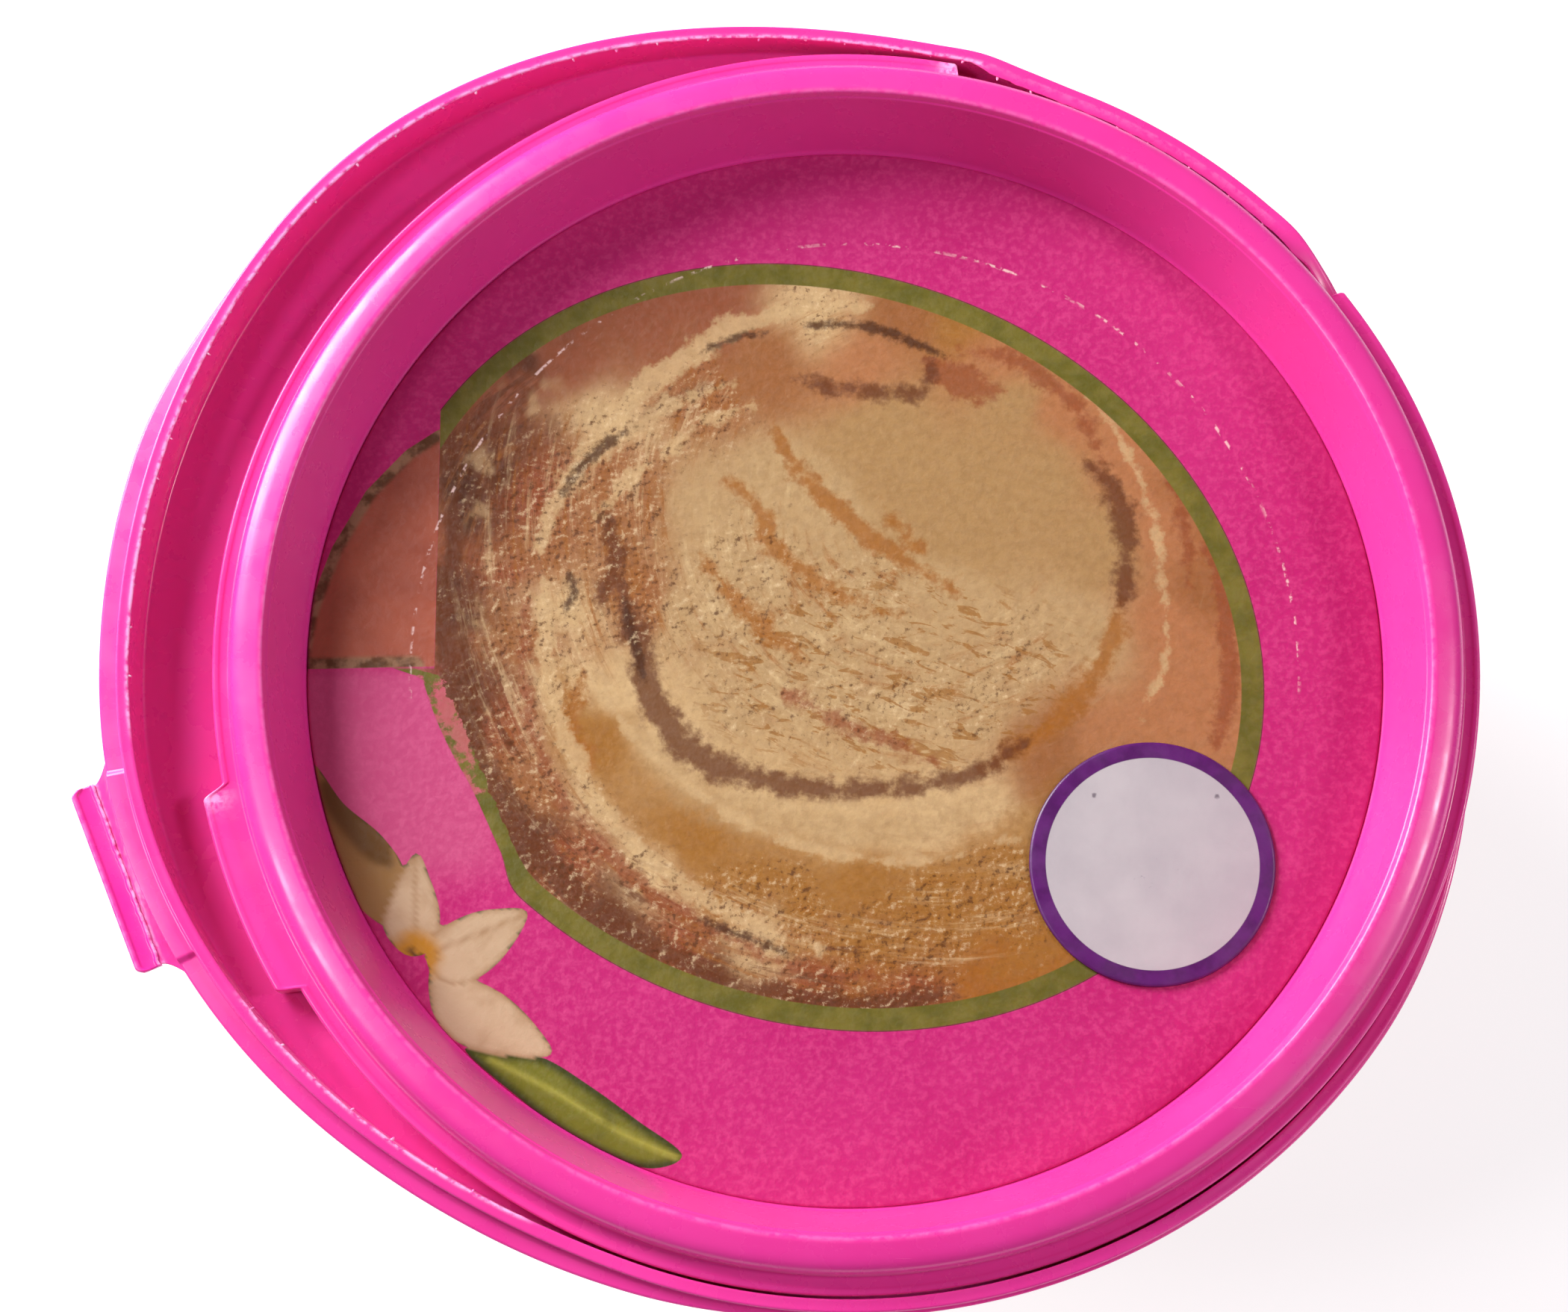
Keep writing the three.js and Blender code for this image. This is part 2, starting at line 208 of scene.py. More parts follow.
class Surface:
    """A node material with short ways to add the nodes that it needs."""

    def __init__(self, name, roughness=0.3):
        self.material = bpy.data.materials.new(name)
        self.material.use_nodes = True
        self.tree = self.material.node_tree
        self.shader = self.tree.nodes["Principled BSDF"]
        self.shader.inputs["Roughness"].default_value = roughness

    def add(self, kind, **settings):
        made = self.tree.nodes.new(kind)
        for key, value in settings.items():
            setattr(made, key, value)
        return made

    def feed(self, socket, value):
        if isinstance(value, bpy.types.NodeSocket):
            self.tree.links.new(value, socket)
        elif isinstance(value, tuple) and len(value) == 3 and socket.type == "RGBA":
            socket.default_value = (*value, 1.0)
        else:
            socket.default_value = value

    def here(self):
        """The place on the piece, in metres."""
        return self.add("ShaderNodeTexCoord").outputs["Object"]

    def attribute(self, name, output="Fac"):
        return self.add("ShaderNodeAttribute", attribute_name=name).outputs[output]

    def scaled(self, vector, scale):
        made = self.add("ShaderNodeVectorMath", operation="MULTIPLY")
        self.feed(made.inputs[0], vector)
        made.inputs[1].default_value = scale
        return made.outputs["Vector"]

    def noise(self, scale, detail=3.0, roughness=0.55, vector=None, distortion=0.0):
        made = self.add("ShaderNodeTexNoise")
        made.inputs["Scale"].default_value = scale
        made.inputs["Detail"].default_value = detail
        made.inputs["Roughness"].default_value = roughness
        made.inputs["Distortion"].default_value = distortion
        self.feed(made.inputs["Vector"], self.here() if vector is None else vector)
        return made.outputs["Fac"]

    def fit(self, value, low, high, to_low=0.0, to_high=1.0):
        made = self.add("ShaderNodeMapRange", interpolation_type="SMOOTHSTEP")
        self.feed(made.inputs["Value"], value)
        made.inputs["From Min"].default_value = low
        made.inputs["From Max"].default_value = high
        made.inputs["To Min"].default_value = to_low
        made.inputs["To Max"].default_value = to_high
        return made.outputs["Result"]

    def math(self, operation, a, b=0.0):
        made = self.add("ShaderNodeMath", operation=operation)
        self.feed(made.inputs[0], a)
        self.feed(made.inputs[1], b)
        return made.outputs["Value"]

    def mix(self, share, a, b):
        made = self.add("ShaderNodeMix", data_type="RGBA")
        self.feed(made.inputs["Factor"], share)
        self.feed(made.inputs["A"], a)
        self.feed(made.inputs["B"], b)
        return made.outputs["Result"]

    def bump(self, height, depth_mm, strength=1.0):
        made = self.add("ShaderNodeBump")
        made.inputs["Distance"].default_value = depth_mm * MM
        made.inputs["Strength"].default_value = strength
        self.feed(made.inputs["Height"], height)
        self.feed(self.shader.inputs["Normal"], made.outputs["Normal"])

    def finish(self, colour, roughness=None):
        self.feed(self.shader.inputs["Base Color"], colour)
        if roughness is not None:
            self.feed(self.shader.inputs["Roughness"], roughness)
        return self.material


PINK = linear(240, 62, 160)
PINK_DEEP = linear(232, 50, 148)
STRESS_WHITE = linear(255, 172, 226)


def pink_plastic(name, base, deep, gloss=0.26):
    """Glossy moulded polypropylene: faint cloudy tone, fine ripple, hairline scuffs, and the
    paler colour that the plastic takes where it was bent or torn (attribute "stress")."""
    s = Surface(name)
    cloud = s.noise(28.0, 4.0)
    tone = s.mix(s.fit(cloud, 0.3, 0.75, 0.0, 0.6), base, deep)
    worn = s.math("MULTIPLY", s.attribute("stress"), s.fit(s.noise(900.0, 3.0), 0.3, 0.62))
    colour = s.mix(s.math("MINIMUM", worn, 1.0), tone, STRESS_WHITE)
    rough = s.fit(s.noise(140.0, 5.0), 0.25, 0.8, gloss - 0.06, gloss + 0.12)
    height = s.noise(420.0, 2.0)
    fine = s.scaled(s.here(), (1.0, 16.0, 1.0))
    hair = s.fit(s.noise(120.0, 3.0, 0.6, fine, 0.4), 0.70, 0.76)
    colour = s.mix(s.math("MULTIPLY", hair, 0.06), colour, STRESS_WHITE)
    rough = s.math("ADD", rough, s.math("MULTIPLY", hair, 0.06))
    s.shader.inputs["IOR"].default_value = 1.5
    s.shader.inputs["Sheen Weight"].default_value = 0.2
    s.shader.inputs["Sheen Roughness"].default_value = 0.35
    s.shader.inputs["Sheen Tint"].default_value = (1.0, 0.52, 0.88, 1.0)
    s.shader.inputs["Subsurface Weight"].default_value = 0.12
    s.shader.inputs["Subsurface Radius"].default_value = (1.0, 0.35, 0.6)
    s.shader.inputs["Subsurface Scale"].default_value = 1.2 * MM
    s.bump(height, 0.05, 0.25)
    return s.finish(colour, rough)


def paint(obj, material):
    obj.data.materials.clear()
    obj.data.materials.append(material)


# ---------------------------------------------------------------- lid
LEDGE_RUN_OUT = 4.4                              # degrees that the ledge runs on past the skirt's end


def ledge_share(degrees):
    """1 where the lid has its ledge, 0 in the gap."""
    return 1.0 - window(degrees, (LEDGE_GAP[0] + LEDGE_RUN_OUT, LEDGE_GAP[1]), 0.7)


def lid_section(degrees):
    keep = max(ledge_share(degrees), 0.03)
    reach = GRIP_REACH * window(degrees, GRIP, 1.2)
    edge = lerp(BEAD_R + 0.15, LID_R + reach, keep)
    foot = BEAD_R + 0.1

    def out(r):
        """A radius on the full ledge, squeezed towards the bead where the ledge is missing."""
        return lerp(foot, r, keep)

    def z(height):
        return LEDGE_Z + height

    skirt = lerp(LID_WALL + 0.05, SKIRT_DEPTH, 1.0 - window(degrees, LEDGE_GAP, 0.7))
    full = LID_R + reach
    corners = [
        (0, z(-PANEL_DEPTH), 0),
        (PANEL_R, z(-PANEL_DEPTH), 1.4),
        (WELL_TOP_R - 0.35, z(BEAD_TOP - 1.3), 0.3),
        (WELL_TOP_R - 0.12, z(BEAD_TOP - 1.12), 0.15),
        (WELL_TOP_R + 0.28, z(BEAD_TOP - 0.18), 0.3),
        (WELL_TOP_R + 0.95, z(BEAD_TOP), 0.4),
        (WELL_TOP_R + 4.3, z(BEAD_TOP - 0.55), 1.9),
        (BEAD_R - 0.35, z(BEAD_TOP - 1.75), 1.1),
        (BEAD_R, z(0.35), 0.5),
        (out(BEAD_R + 0.35), z(0.02 * keep), 0.25 * keep),
        (out(full - 1.25), z(0), 0.4 * keep),
        (out(full - 0.95), z(0.16 * keep), 0.3 * keep),
        (out(full - 0.25), z(0.16 * keep), 0.4 * keep),
        (edge, z(-0.25 * keep), 0.4 * keep),
        (edge, z(-skirt), 0.25 * keep),
        (out(full - 1.0), z(-skirt), 0.2 * keep),
        (out(full - 1.1), z(-LID_WALL), 0.25 * keep),
        (BEAD_R - LID_WALL, z(-LID_WALL), 0.3),
        (BEAD_R - LID_WALL, z(BEAD_TOP - LID_WALL - 0.2), 0.5),
        (WELL_TOP_R + LID_WALL, z(BEAD_TOP - LID_WALL), 0.5),
        (PANEL_R + LID_WALL, z(-PANEL_DEPTH - LID_WALL), 1.2),
        (0, z(-PANEL_DEPTH - LID_WALL), 0),
    ]
    return rounded(corners)[::-1]


def dense_angles(count, marks, reach=1.4, extra=14):
    """Even angles round the turn, with more of them beside the given degrees."""
    even = [i * 360 / count for i in range(count)]
    close = [mark + reach * (2 * k / extra - 1) for mark in marks for k in range(extra + 1)]
    degrees = sorted({round(d % 360, 4) for d in even + close})
    return [math.radians(d) for d in degrees]


def make_lid():
    angles = dense_angles(288, (LEDGE_GAP[0], LEDGE_GAP[0] + LEDGE_RUN_OUT, LEDGE_GAP[1], *GRIP))
    obj = sweep("lid_shell_fine", angles, lid_section)
    p = places(obj)
    radius = np.hypot(p[:, 0], p[:, 1])
    degrees = np.degrees(np.arctan2(p[:, 1], p[:, 0])) % 360
    height = p[:, 2] - LEDGE_Z
    ridge = np.exp(-((radius - WELL_TOP_R - 0.55) / 0.35) ** 2) * smooth(height, 4.4, 4.9)
    lip = smooth(radius, LID_R - 1.3, LID_R - 0.9) * smooth(height, 0.1, 0.4)
    gap_end = np.exp(-((degrees - LEDGE_GAP[1] - 0.8) / 0.9) ** 2) * smooth(radius, BEAD_R, BEAD_R + 0.5)
    grip_end = np.exp(-((degrees - GRIP[0] - 0.8) / 0.8) ** 2) * smooth(radius, LID_R, LID_R + 1)
    stress = 0.2 * ridge + 0.08 * lip + 1.3 * gap_end + 0.9 * grip_end
    float_attribute(obj, "stress", np.clip(stress, 0, 1.4))
    paint(obj, pink_plastic("lid_pink", PINK, PINK_DEEP))
    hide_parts("lid_shell")
    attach(obj, "lid")


# ---------------------------------------------------------------- tub
def make_tub():
    wall = 1.1
    rim_r = BEAD_R - LID_WALL - 1.3
    base_r = rim_r - 14.8
    foot_r = base_r - 2.5
    shoulder_r = TUB_HIGH[1] / MM
    shoulder = LEDGE_Z - 6
    under = shoulder - wall
    rim_top = TUB_HIGH[2] / MM
    corners = [
        (0, 0, 0),
        (40, 0, 0.4),
        (41.2, 1.2, 0.6),
        (foot_r - 5.7, 1.2, 0.6),
        (foot_r - 4.5, 0, 0.5),
        (foot_r, 0, 1.6),
        (base_r, 2, 2.0),
        (rim_r, under, 0.5),
        (shoulder_r - wall, under, 0.3),
        (shoulder_r - wall, shoulder - 5, 0.3),
        (shoulder_r, shoulder - 5, 0.3),
        (shoulder_r, shoulder, 0.5),
        (rim_r, shoulder, 0.5),
        (rim_r, rim_top, 0.4),
        (rim_r - wall, rim_top, 0.4),
        (rim_r - wall, under, 2.5),
        (base_r - wall, 4.3, 3.0),
        (base_r - wall - 2, 2.3, 2.0),
        (0, 2.3, 0),
    ]
    profile = rounded(corners)
    obj = sweep("tub_body_fine", dense_angles(240, ()), lambda degrees: profile)
    float_attribute(obj, "stress", np.zeros(len(obj.data.vertices)))
    # The tub is a darker pink than the lid. This is painted shade for the deep gap between ring and lid, and
    # it also holds down the floor's glow on the tub's sides.
    paint(obj, pink_plastic("tub_pink_shaded", linear(192, 24, 98), linear(174, 16, 86), 0.3))
    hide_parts("tub_body")
    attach(obj, "tub")


def make_wrap():
    """The printed film round the tub's wall."""
    low, high = WRAP_LOW[2] / MM, WRAP_HIGH[2] / MM
    cad = np.array([v.co[:] for v in frame["nodes"]["tub_wrap_label"].data.vertices]) / MM
    radius = np.hypot(cad[:, 0], cad[:, 1])
    foot_r = radius[cad[:, 2] < low + 1].max()
    head_r = radius[cad[:, 2] > high - 1].max()
    film = 0.4

    def section(degrees):
        rows = 14
        outer = [(lerp(foot_r, head_r, k / rows), lerp(low, high, k / rows)) for k in range(rows + 1)]
        inner = [(r - film, z) for r, z in outer[::-1]]
        return outer + inner

    obj = sweep("tub_wrap_fine", dense_angles(240, ()), section, closed=True)
    s = Surface("wrap_print", 0.34)
    at = s.add("ShaderNodeSeparateXYZ")
    s.feed(at.inputs["Vector"], s.here())
    share = s.fit(at.outputs["Z"], low * MM, high * MM)
    wave = s.math("MULTIPLY", s.noise(11.0, 1.0), 0.16)
    level = s.math("ADD", share, wave)
    pink = s.mix(s.fit(s.noise(30.0, 4.0), 0.3, 0.7), linear(180, 22, 92), linear(160, 14, 80))
    cream = s.mix(s.fit(s.noise(60.0, 6.0), 0.35, 0.65), linear(164, 134, 92), linear(134, 92, 50))
    above_cream = s.fit(level, 0.30, 0.305)
    colour = s.mix(above_cream, cream, pink)
    olive = s.math("MULTIPLY", above_cream, s.fit(level, 0.35, 0.345))
    colour = s.mix(olive, colour, linear(78, 80, 28))
    s.bump(s.noise(1100.0, 2.0), 0.04, 0.5)
    paint(obj, s.finish(colour, s.fit(s.noise(300.0, 3.0), 0.3, 0.7, 0.28, 0.42)))
    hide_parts("tub_wrap_label")
    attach(obj, "tub")


# ---------------------------------------------------------------- tamper ring
RING_FOOT = 1.0                                  # mm, thickness of the ring's foot
TORN = ((45.0, 187.0), (211.0, 241.0))           # degrees where bridges have broken
LIP_SPAN, LIP = (41.0, 77.0), 1.0                # where and how far the ring leans in to the bead
LIP_EASE = 2.5                                   # degrees over which that lean begins and ends
PAD_SPAN, PAD = (190.2, 205.8), 0.4              # the thicker stretch of band behind the tab


def ring_stations():
    """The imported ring's corners at each of its own angles: {degrees: {corner: (r, z)}}."""
    co = np.array([v.co[:] for v in frame["nodes"]["tamper_ring"].data.vertices]) / MM
    degrees = np.round(np.degrees(np.arctan2(co[:, 1], co[:, 0])) % 360, 1) % 360
    stations = {}
    for d in np.unique(degrees):
        at = co[degrees == d]
        r, z = np.hypot(at[:, 0], at[:, 1]), at[:, 2]
        top, foot = z > z.max() - 0.05, z < z.min() + RING_FOOT + 0.05
        wide = r > r.max() - 0.02
        middle = ~top & ~foot
        stations[float(d)] = {
            "foot_in": (r[foot].min(), z.min()),
            "wall_out": (r[z < z.min() + 0.05].max(), z.min()),
            "band_low": (r.max(), z[wide].min()),
            "band_high": (r.max(), z[wide].max()),
            "flange_out": (r[top].max(), z.max()),
            "flange_low": (r[top].max(), z[middle].max()),
            "wall_in": (r[top].min(), z.max()),
        }
    return stations


def round_curve(stations, corner, axis):
    """One corner's radius (axis 0) or height (axis 1) as a smooth function of degrees."""
    known = sorted(stations)
    values = [stations[d][corner][axis] for d in known]
    count = len(known)

    def at(degrees):
        degrees %= 360
        i = int(np.searchsorted(known, degrees, side="right")) - 1
        begin = known[i]
        span = (known[(i + 1) % count] - begin) % 360
        t = ((degrees - begin) % 360) / span
        return through(*(values[(i + k) % count] for k in (-1, 0, 1, 2)), t)

    return at


class Ring:
    """The ring's shape as smooth functions of the angle, in millimetres."""

    def __init__(self):
        stations = ring_stations()
        names = next(iter(stations.values()))
        self.curves = {n: (round_curve(stations, n, 0), round_curve(stations, n, 1)) for n in names}

    def at(self, corner, degrees):
        r, z = self.curves[corner]
        return r(degrees), z(degrees)


def torn(degrees):
    return max(window(degrees, span, 3.0) for span in TORN)


def ring_section(ring, degrees):
    foot_r, foot_z = ring.at("foot_in", degrees)
    out_r, _ = ring.at("wall_out", degrees)
    low_r, low_z = ring.at("band_low", degrees)
    high_r, high_z = ring.at("band_high", degrees)
    flange_r, top = ring.at("flange_out", degrees)
    _, flange_z = ring.at("flange_low", degrees)
    in_r, _ = ring.at("wall_in", degrees)
    x, y = in_r * math.cos(math.radians(degrees)), in_r * math.sin(math.radians(degrees))
    ragged = torn(degrees)
    bite = ragged * 0.16 * (wobble(x, y, 0, 0.9) + 0.6 * wobble(x, y, 5, 2.6))
    sag = ragged * 0.1 * abs(wobble(x, y, 9, 1.7))
    lip_r = in_r - LIP * window(degrees, LIP_SPAN, LIP_EASE) + bite
    pad = PAD * window(degrees, PAD_SPAN, 0.5)
    corners = [
        (foot_r, foot_z, 0.2),
        (out_r, foot_z, 0.35),
        (out_r, low_z, 0.3),
        (low_r, low_z, 0.35),
        (high_r, high_z + pad, 0.45 - 0.3 * pad / PAD),
        (flange_r + 0.05, high_z + 0.1 + pad, 0.3),
        (flange_r, flange_z, 0.2),
        (flange_r, top, 0.35),
        ((flange_r + in_r) / 2, top - 0.06, 0.4),
        (lip_r + 0.28, top - 0.02, 0.12),
        (lip_r - 0.05, top - 0.12 - sag, 0.18),
        (in_r + 0.05, top - 0.9, 0.3),
        (in_r, foot_z + RING_FOOT, 0.7),
        (foot_r, foot_z + RING_FOOT, 0.2),
    ]
    return rounded(corners, closed=True, steps=3)


def make_ring(ring):
    angles = dense_angles(540, PAD_SPAN, 0.8)
    obj = sweep("tamper_ring_fine", angles, lambda d: ring_section(ring, d), closed=True)
    p = places(obj)
    radius = np.hypot(p[:, 0], p[:, 1])
    degrees = np.degrees(np.arctan2(p[:, 1], p[:, 0])) % 360
    inner = np.array([ring.at("wall_in", d)[0] for d in degrees])
    top = np.array([ring.at("wall_in", d)[1] for d in degrees])
    tearing = np.array([torn(d) for d in degrees])
    edge = np.exp(-((radius - inner - 0.15) / 0.3) ** 2) * smooth(p[:, 2], top - 0.45, top - 0.1)
    float_attribute(obj, "stress", np.clip(tearing * edge * 1.25, 0, 1.3))
    paint(obj, pink_plastic("ring_pink", PINK, PINK_DEEP))
    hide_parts("tamper_ring")
    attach(obj, "tub")


def blob(vertices, faces, matrix, size, rng):
    """Adds one ragged stub, a jittered eight-cornered lump, given its length, width and height."""
    base = len(vertices)
    for x in (0.0, 1.0):
        for y, z in ((-1, -1), (1, -1), (1, 1), (-1, 1)):
            slim = 1.0 - x * rng.uniform(0.25, 0.6)
            point = Vector((x * size[0] * rng.uniform(0.8, 1.1) - (1 - x) * 0.3,
                            y * size[1] * slim / 2 * rng.uniform(0.8, 1.2),
                            z * size[2] * slim / 2 * rng.uniform(0.8, 1.2)))
            vertices.append(tuple((matrix @ point) * MM))
    quads = ((0, 3, 2, 1), (4, 5, 6, 7), (0, 1, 5, 4), (1, 2, 6, 5), (2, 3, 7, 6), (3, 0, 4, 7))
    faces += [tuple(base + i for i in quad) for quad in quads]


def make_stubs(ring):
    """Broken bridges along the ring's inner edge: whitened stubs of uneven length."""
    rng = random.Random(7)
    vertices, faces = [], []
    for low, high in TORN:
        degrees = low + 1.0
        while degrees < high - 1.0:
            r, top = ring.at("wall_in", degrees)
            r -= LIP * window(degrees, LIP_SPAN, LIP_EASE)
            turn = Matrix.Rotation(math.radians(degrees), 4, "Z")
            lean = Matrix.Rotation(math.radians(rng.uniform(-25, 25)), 4, "Z")
            place = turn @ Matrix.Translation((r + 0.12, 0, top - 0.38)) @ Matrix.Rotation(math.pi, 4, "Z")
            size = (rng.uniform(0.35, 0.95), rng.uniform(0.45, 0.8), rng.uniform(0.35, 0.6))
            blob(vertices, faces, place @ lean, size, rng)
            degrees += rng.uniform(3.1, 4.7)
    obj = new_object("ring_bridge_stubs", vertices, faces)
    smoother = obj.modifiers.new("round", "SUBSURF")
    smoother.levels = smoother.render_levels = 2
    s = Surface("stress_whitened", 0.5)
    colour = s.mix(s.fit(s.noise(1400.0, 3.0), 0.35, 0.65), linear(244, 92, 170), linear(255, 190, 222))
    s.bump(s.noise(2600.0, 3.0), 0.08, 0.6)
    paint(obj, s.finish(colour))
    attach(obj, "tub")


# ---------------------------------------------------------------- tear tab
HINGE = next(j for j in frame["joints"] if j["name"] == "tab_fold")
TAB_LENGTH, TAB_REACH, TAB_THICK = 29.0, 4.0, 1.2
WEB_AT_RING, WEB_AT_TAB = 17.2, 14.2             # mm, half the web's length at its two edges


def tab_frame():
    """Maps tab millimetres (x outwards, y along the hinge, z up) into the row frame."""
    along = -Vector(HINGE["axis"]).normalized()
    up = Vector((0, 0, 1))
    outward = along.cross(up).normalized()
    m = Matrix((outward, along, up)).transposed().to_4x4()
    m.translation = Vector(HINGE["pos_m"]) / MM
    return m


def make_tab(ring):
    m = tab_frame()
    along_steps = 120
    vertices, faces = [], []
    rows = []
    for i in range(along_steps + 1):
        y = TAB_LENGTH * (i / along_steps - 0.5)
        near_end = smooth(TAB_LENGTH / 2 - abs(y), 0.0, 1.3)
        inner = 0.02 + 0.3 * abs(wobble(y, 3, 0, 0.8)) + 0.16 * abs(wobble(y, 7, 0, 2.7))
        outer = TAB_REACH - 1.0 * (1 - math.sqrt(max(0.0, 1 - (1 - float(near_end)) ** 2)))
        half = TAB_THICK / 2
        corners = [
            (inner, -half, 0.1),
            (outer - 0.1, -half, 0.25),
            (outer, 0.0, 0.3),
            (outer - 0.15, half, 0.25),
            (outer - 0.9, half, 0.15),
            (outer - 1.15, half - 0.28, 0.15),
            (inner + 0.7, half - 0.28, 0.15),
            (inner + 0.45, half - 0.05, 0.12),
            (inner + 0.08, half - 0.1, 0.1),
        ]
        rows.append([(x, y, z) for x, z in rounded(corners, closed=True, steps=2)])
    width = len(rows[0])
    for row in rows:
        vertices += [tuple((m @ Vector(point)) * MM) for point in row]
    for i in range(along_steps):
        for j in range(width):
            k = (j + 1) % width
            a, b = i * width, (i + 1) * width
            faces.append((a + j, a + k, b + k, b + j))
    faces.append(tuple(range(width - 1, -1, -1)))
    faces.append(tuple(along_steps * width + j for j in range(width)))
    obj = new_object("tear_tab_fine", vertices, faces)
    local = np.array([(m.inverted() @ (Vector(v.co) / MM))[:] for v in obj.data.vertices])
    stress = 1.2 * (1 - smooth(local[:, 0], 0.2, 0.75)) + 0.25 * smooth(local[:, 0], 3.0, 3.6)
    float_attribute(obj, "stress", stress)
    paint(obj, pink_plastic("tab_pink", linear(238, 44, 158), PINK))
    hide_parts("tear_tab")
    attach(obj, "tab")
    make_web(m, ring)


def ring_edge_in_tab(ring, m):
    """The band's outer edge beside the tab, as a function: y along the hinge to (x, z)."""
    inverse = m.inverted()
    points = []
    for k in range(61):
        degrees = lerp(PAD_SPAN[0] - 4, PAD_SPAN[1] + 4, k / 60)
        r, z = ring.at("band_high", degrees)
        turned = math.radians(degrees)
        points.append(inverse @ Vector((r * math.cos(turned), r * math.sin(turned), z)))
    points.sort(key=lambda point: point.y)
    ys, xs, zs = ([getattr(point, axis) for point in points] for axis in "yxz")
    return lambda y: (float(np.interp(y, ys, xs)), float(np.interp(y, ys, zs)))


def make_web(m, ring):
    """The torn web that still holds the tab to the ring."""
    edge = ring_edge_in_tab(ring, m)
    across, steps = 12, 150
    vertices, faces, stress = [], [], []
    for side in (1, -1):
        for i in range(steps + 1):
            share = 2 * i / steps - 1
            for k in range(across + 1):
                t = k / across
                y = share * (WEB_AT_TAB + (WEB_AT_RING - WEB_AT_TAB) * (1 - t) ** 2.4)
                inner, band_z = edge(y)
                x = lerp(inner - 0.35, 0.75, t)
                torn_line = math.exp(-((t - 0.72) / 0.1) ** 2)
                rough = 0.5 * wobble(x, y, 2, 0.8) + 0.5 * wobble(x, y, 8, 2.1)
                thick = 0.30 + 0.06 * rough - 0.14 * torn_line * (0.6 + 0.4 * wobble(y, 4, 1, 0.9))
                rise = lerp(band_z - 0.45, 0.0, smooth(t, 0, 0.9))
                vertices.append(tuple((m @ Vector((x, y, rise - 0.08 + side * thick))) * MM))
                stress.append(torn_line * (0.5 + 0.7 * rough))
    width = across + 1
    sheet = (steps + 1) * width
    for i in range(steps):
        for k in range(across):
            a, b = i * width + k, (i + 1) * width + k
            faces.append((a, a + 1, b + 1, b))
            faces.append((sheet + a, sheet + b, sheet + b + 1, sheet + a + 1))
        for k in (0, across):
            a, b = i * width + k, (i + 1) * width + k
            quad = (a, b, sheet + b, sheet + a)
            faces.append(quad if k == 0 else quad[::-1])
    for i in (0, steps):
        for k in range(across):
            a = i * width + k
            quad = (a, a + 1, sheet + a + 1, sheet + a)
            faces.append(quad if i else quad[::-1])
    obj = new_object("tab_hinge_web", vertices, faces)
    float_attribute(obj, "stress", np.clip(stress, 0, 1.2))
    paint(obj, pink_plastic("web_pink", PINK, PINK_DEEP, 0.32))
    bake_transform(obj)


# ---------------------------------------------------------------- printed label
# The print is painted on the label's vertices in millimetres about the lid's axis: broad colours
# from anchors, then strokes and outlines as signed depths, which the material turns into edges.
PALETTE = {
    "cream": (200, 166, 120),
    "pale": (182, 148, 104),
    "beige": (168, 130, 84),
    "peach": (172, 112, 72),
    "ochre": (156, 104, 44),
    "gold": (156, 94, 32),
    "tan": (150, 94, 54),
    "rust": (140, 70, 40),
    "clay": (144, 80, 54),
    "bark": (98, 50, 28),
    "umber": (62, 30, 16),
}


def ink(name):
    return linear(*PALETTE[name])


# Each anchor: palette colour, how grainy the print is there, and places.
ANCHORS = (
    ("clay", 0.1, ((-57, 44), (-42, 50), (-30, 54), (-20, 58), (-62, 20), (-64, 4))),
    ("bark", 0.7, ((-55, 35), (-57, 24), (-58, 10), (-57, -6), (-47, -28), (-34, -40), (-20, -48))),
    ("rust", 1.0, ((-50, 26), (-52, 14), (-51, -8), (-41, -31), (-26, -43), (-6, -51), (10, -50))),
    ("tan", 1.0, ((-50, 4), (-49, 18), (-47, -20), (-30, 26), (-38, 30), (-33, 12), (-22, 42))),
    ("cream", 0.8, ((-45, 10), (-45, -3), (-39, -20), (-28, -34), (-14, -42), (-36, 38), (-4, 57))),
    ("ochre", 0.12, ((-36, -12), (-21, -27), (3, -33), (20, 55))),
    ("cream", 0.2, ((-34, -4), (-27, -13), (-15, -23), (0, -26), (14, -26), (24, -22))),
    ("pale", 0.75, ((-24, 8), (-16, -6), (-6, 2), (6, -6), (18, -4), (28, 2), (-16, 18), (2, 10))),
    ("pale", 0.3, ((-24, 26), (-12, 30), (-2, 24), (16, 8), (34, 6))),
    ("beige", 0.06, ((8, 30), (20, 20), (30, 30), (38, 18), (4, 38), (26, 40), (22, 30))),
    ("peach", 0.1, ((2, 48), (24, 47), (34, 40), (49, 22), (51, 6), (49, -8), (40, -14), (46, 34))),
    ("tan", 0.2, ((-10, 48), (10, 56), (55, 26), (57, 12), (30, -16))),
    ("ochre", 0.95, ((-16, -36), (-6, -38), (6, -40), (16, -38), (24, -32), (10, -45), (26, -40))),
    ("gold", 0.3, ((22, -47), (32, -43), (38, -38))),
)
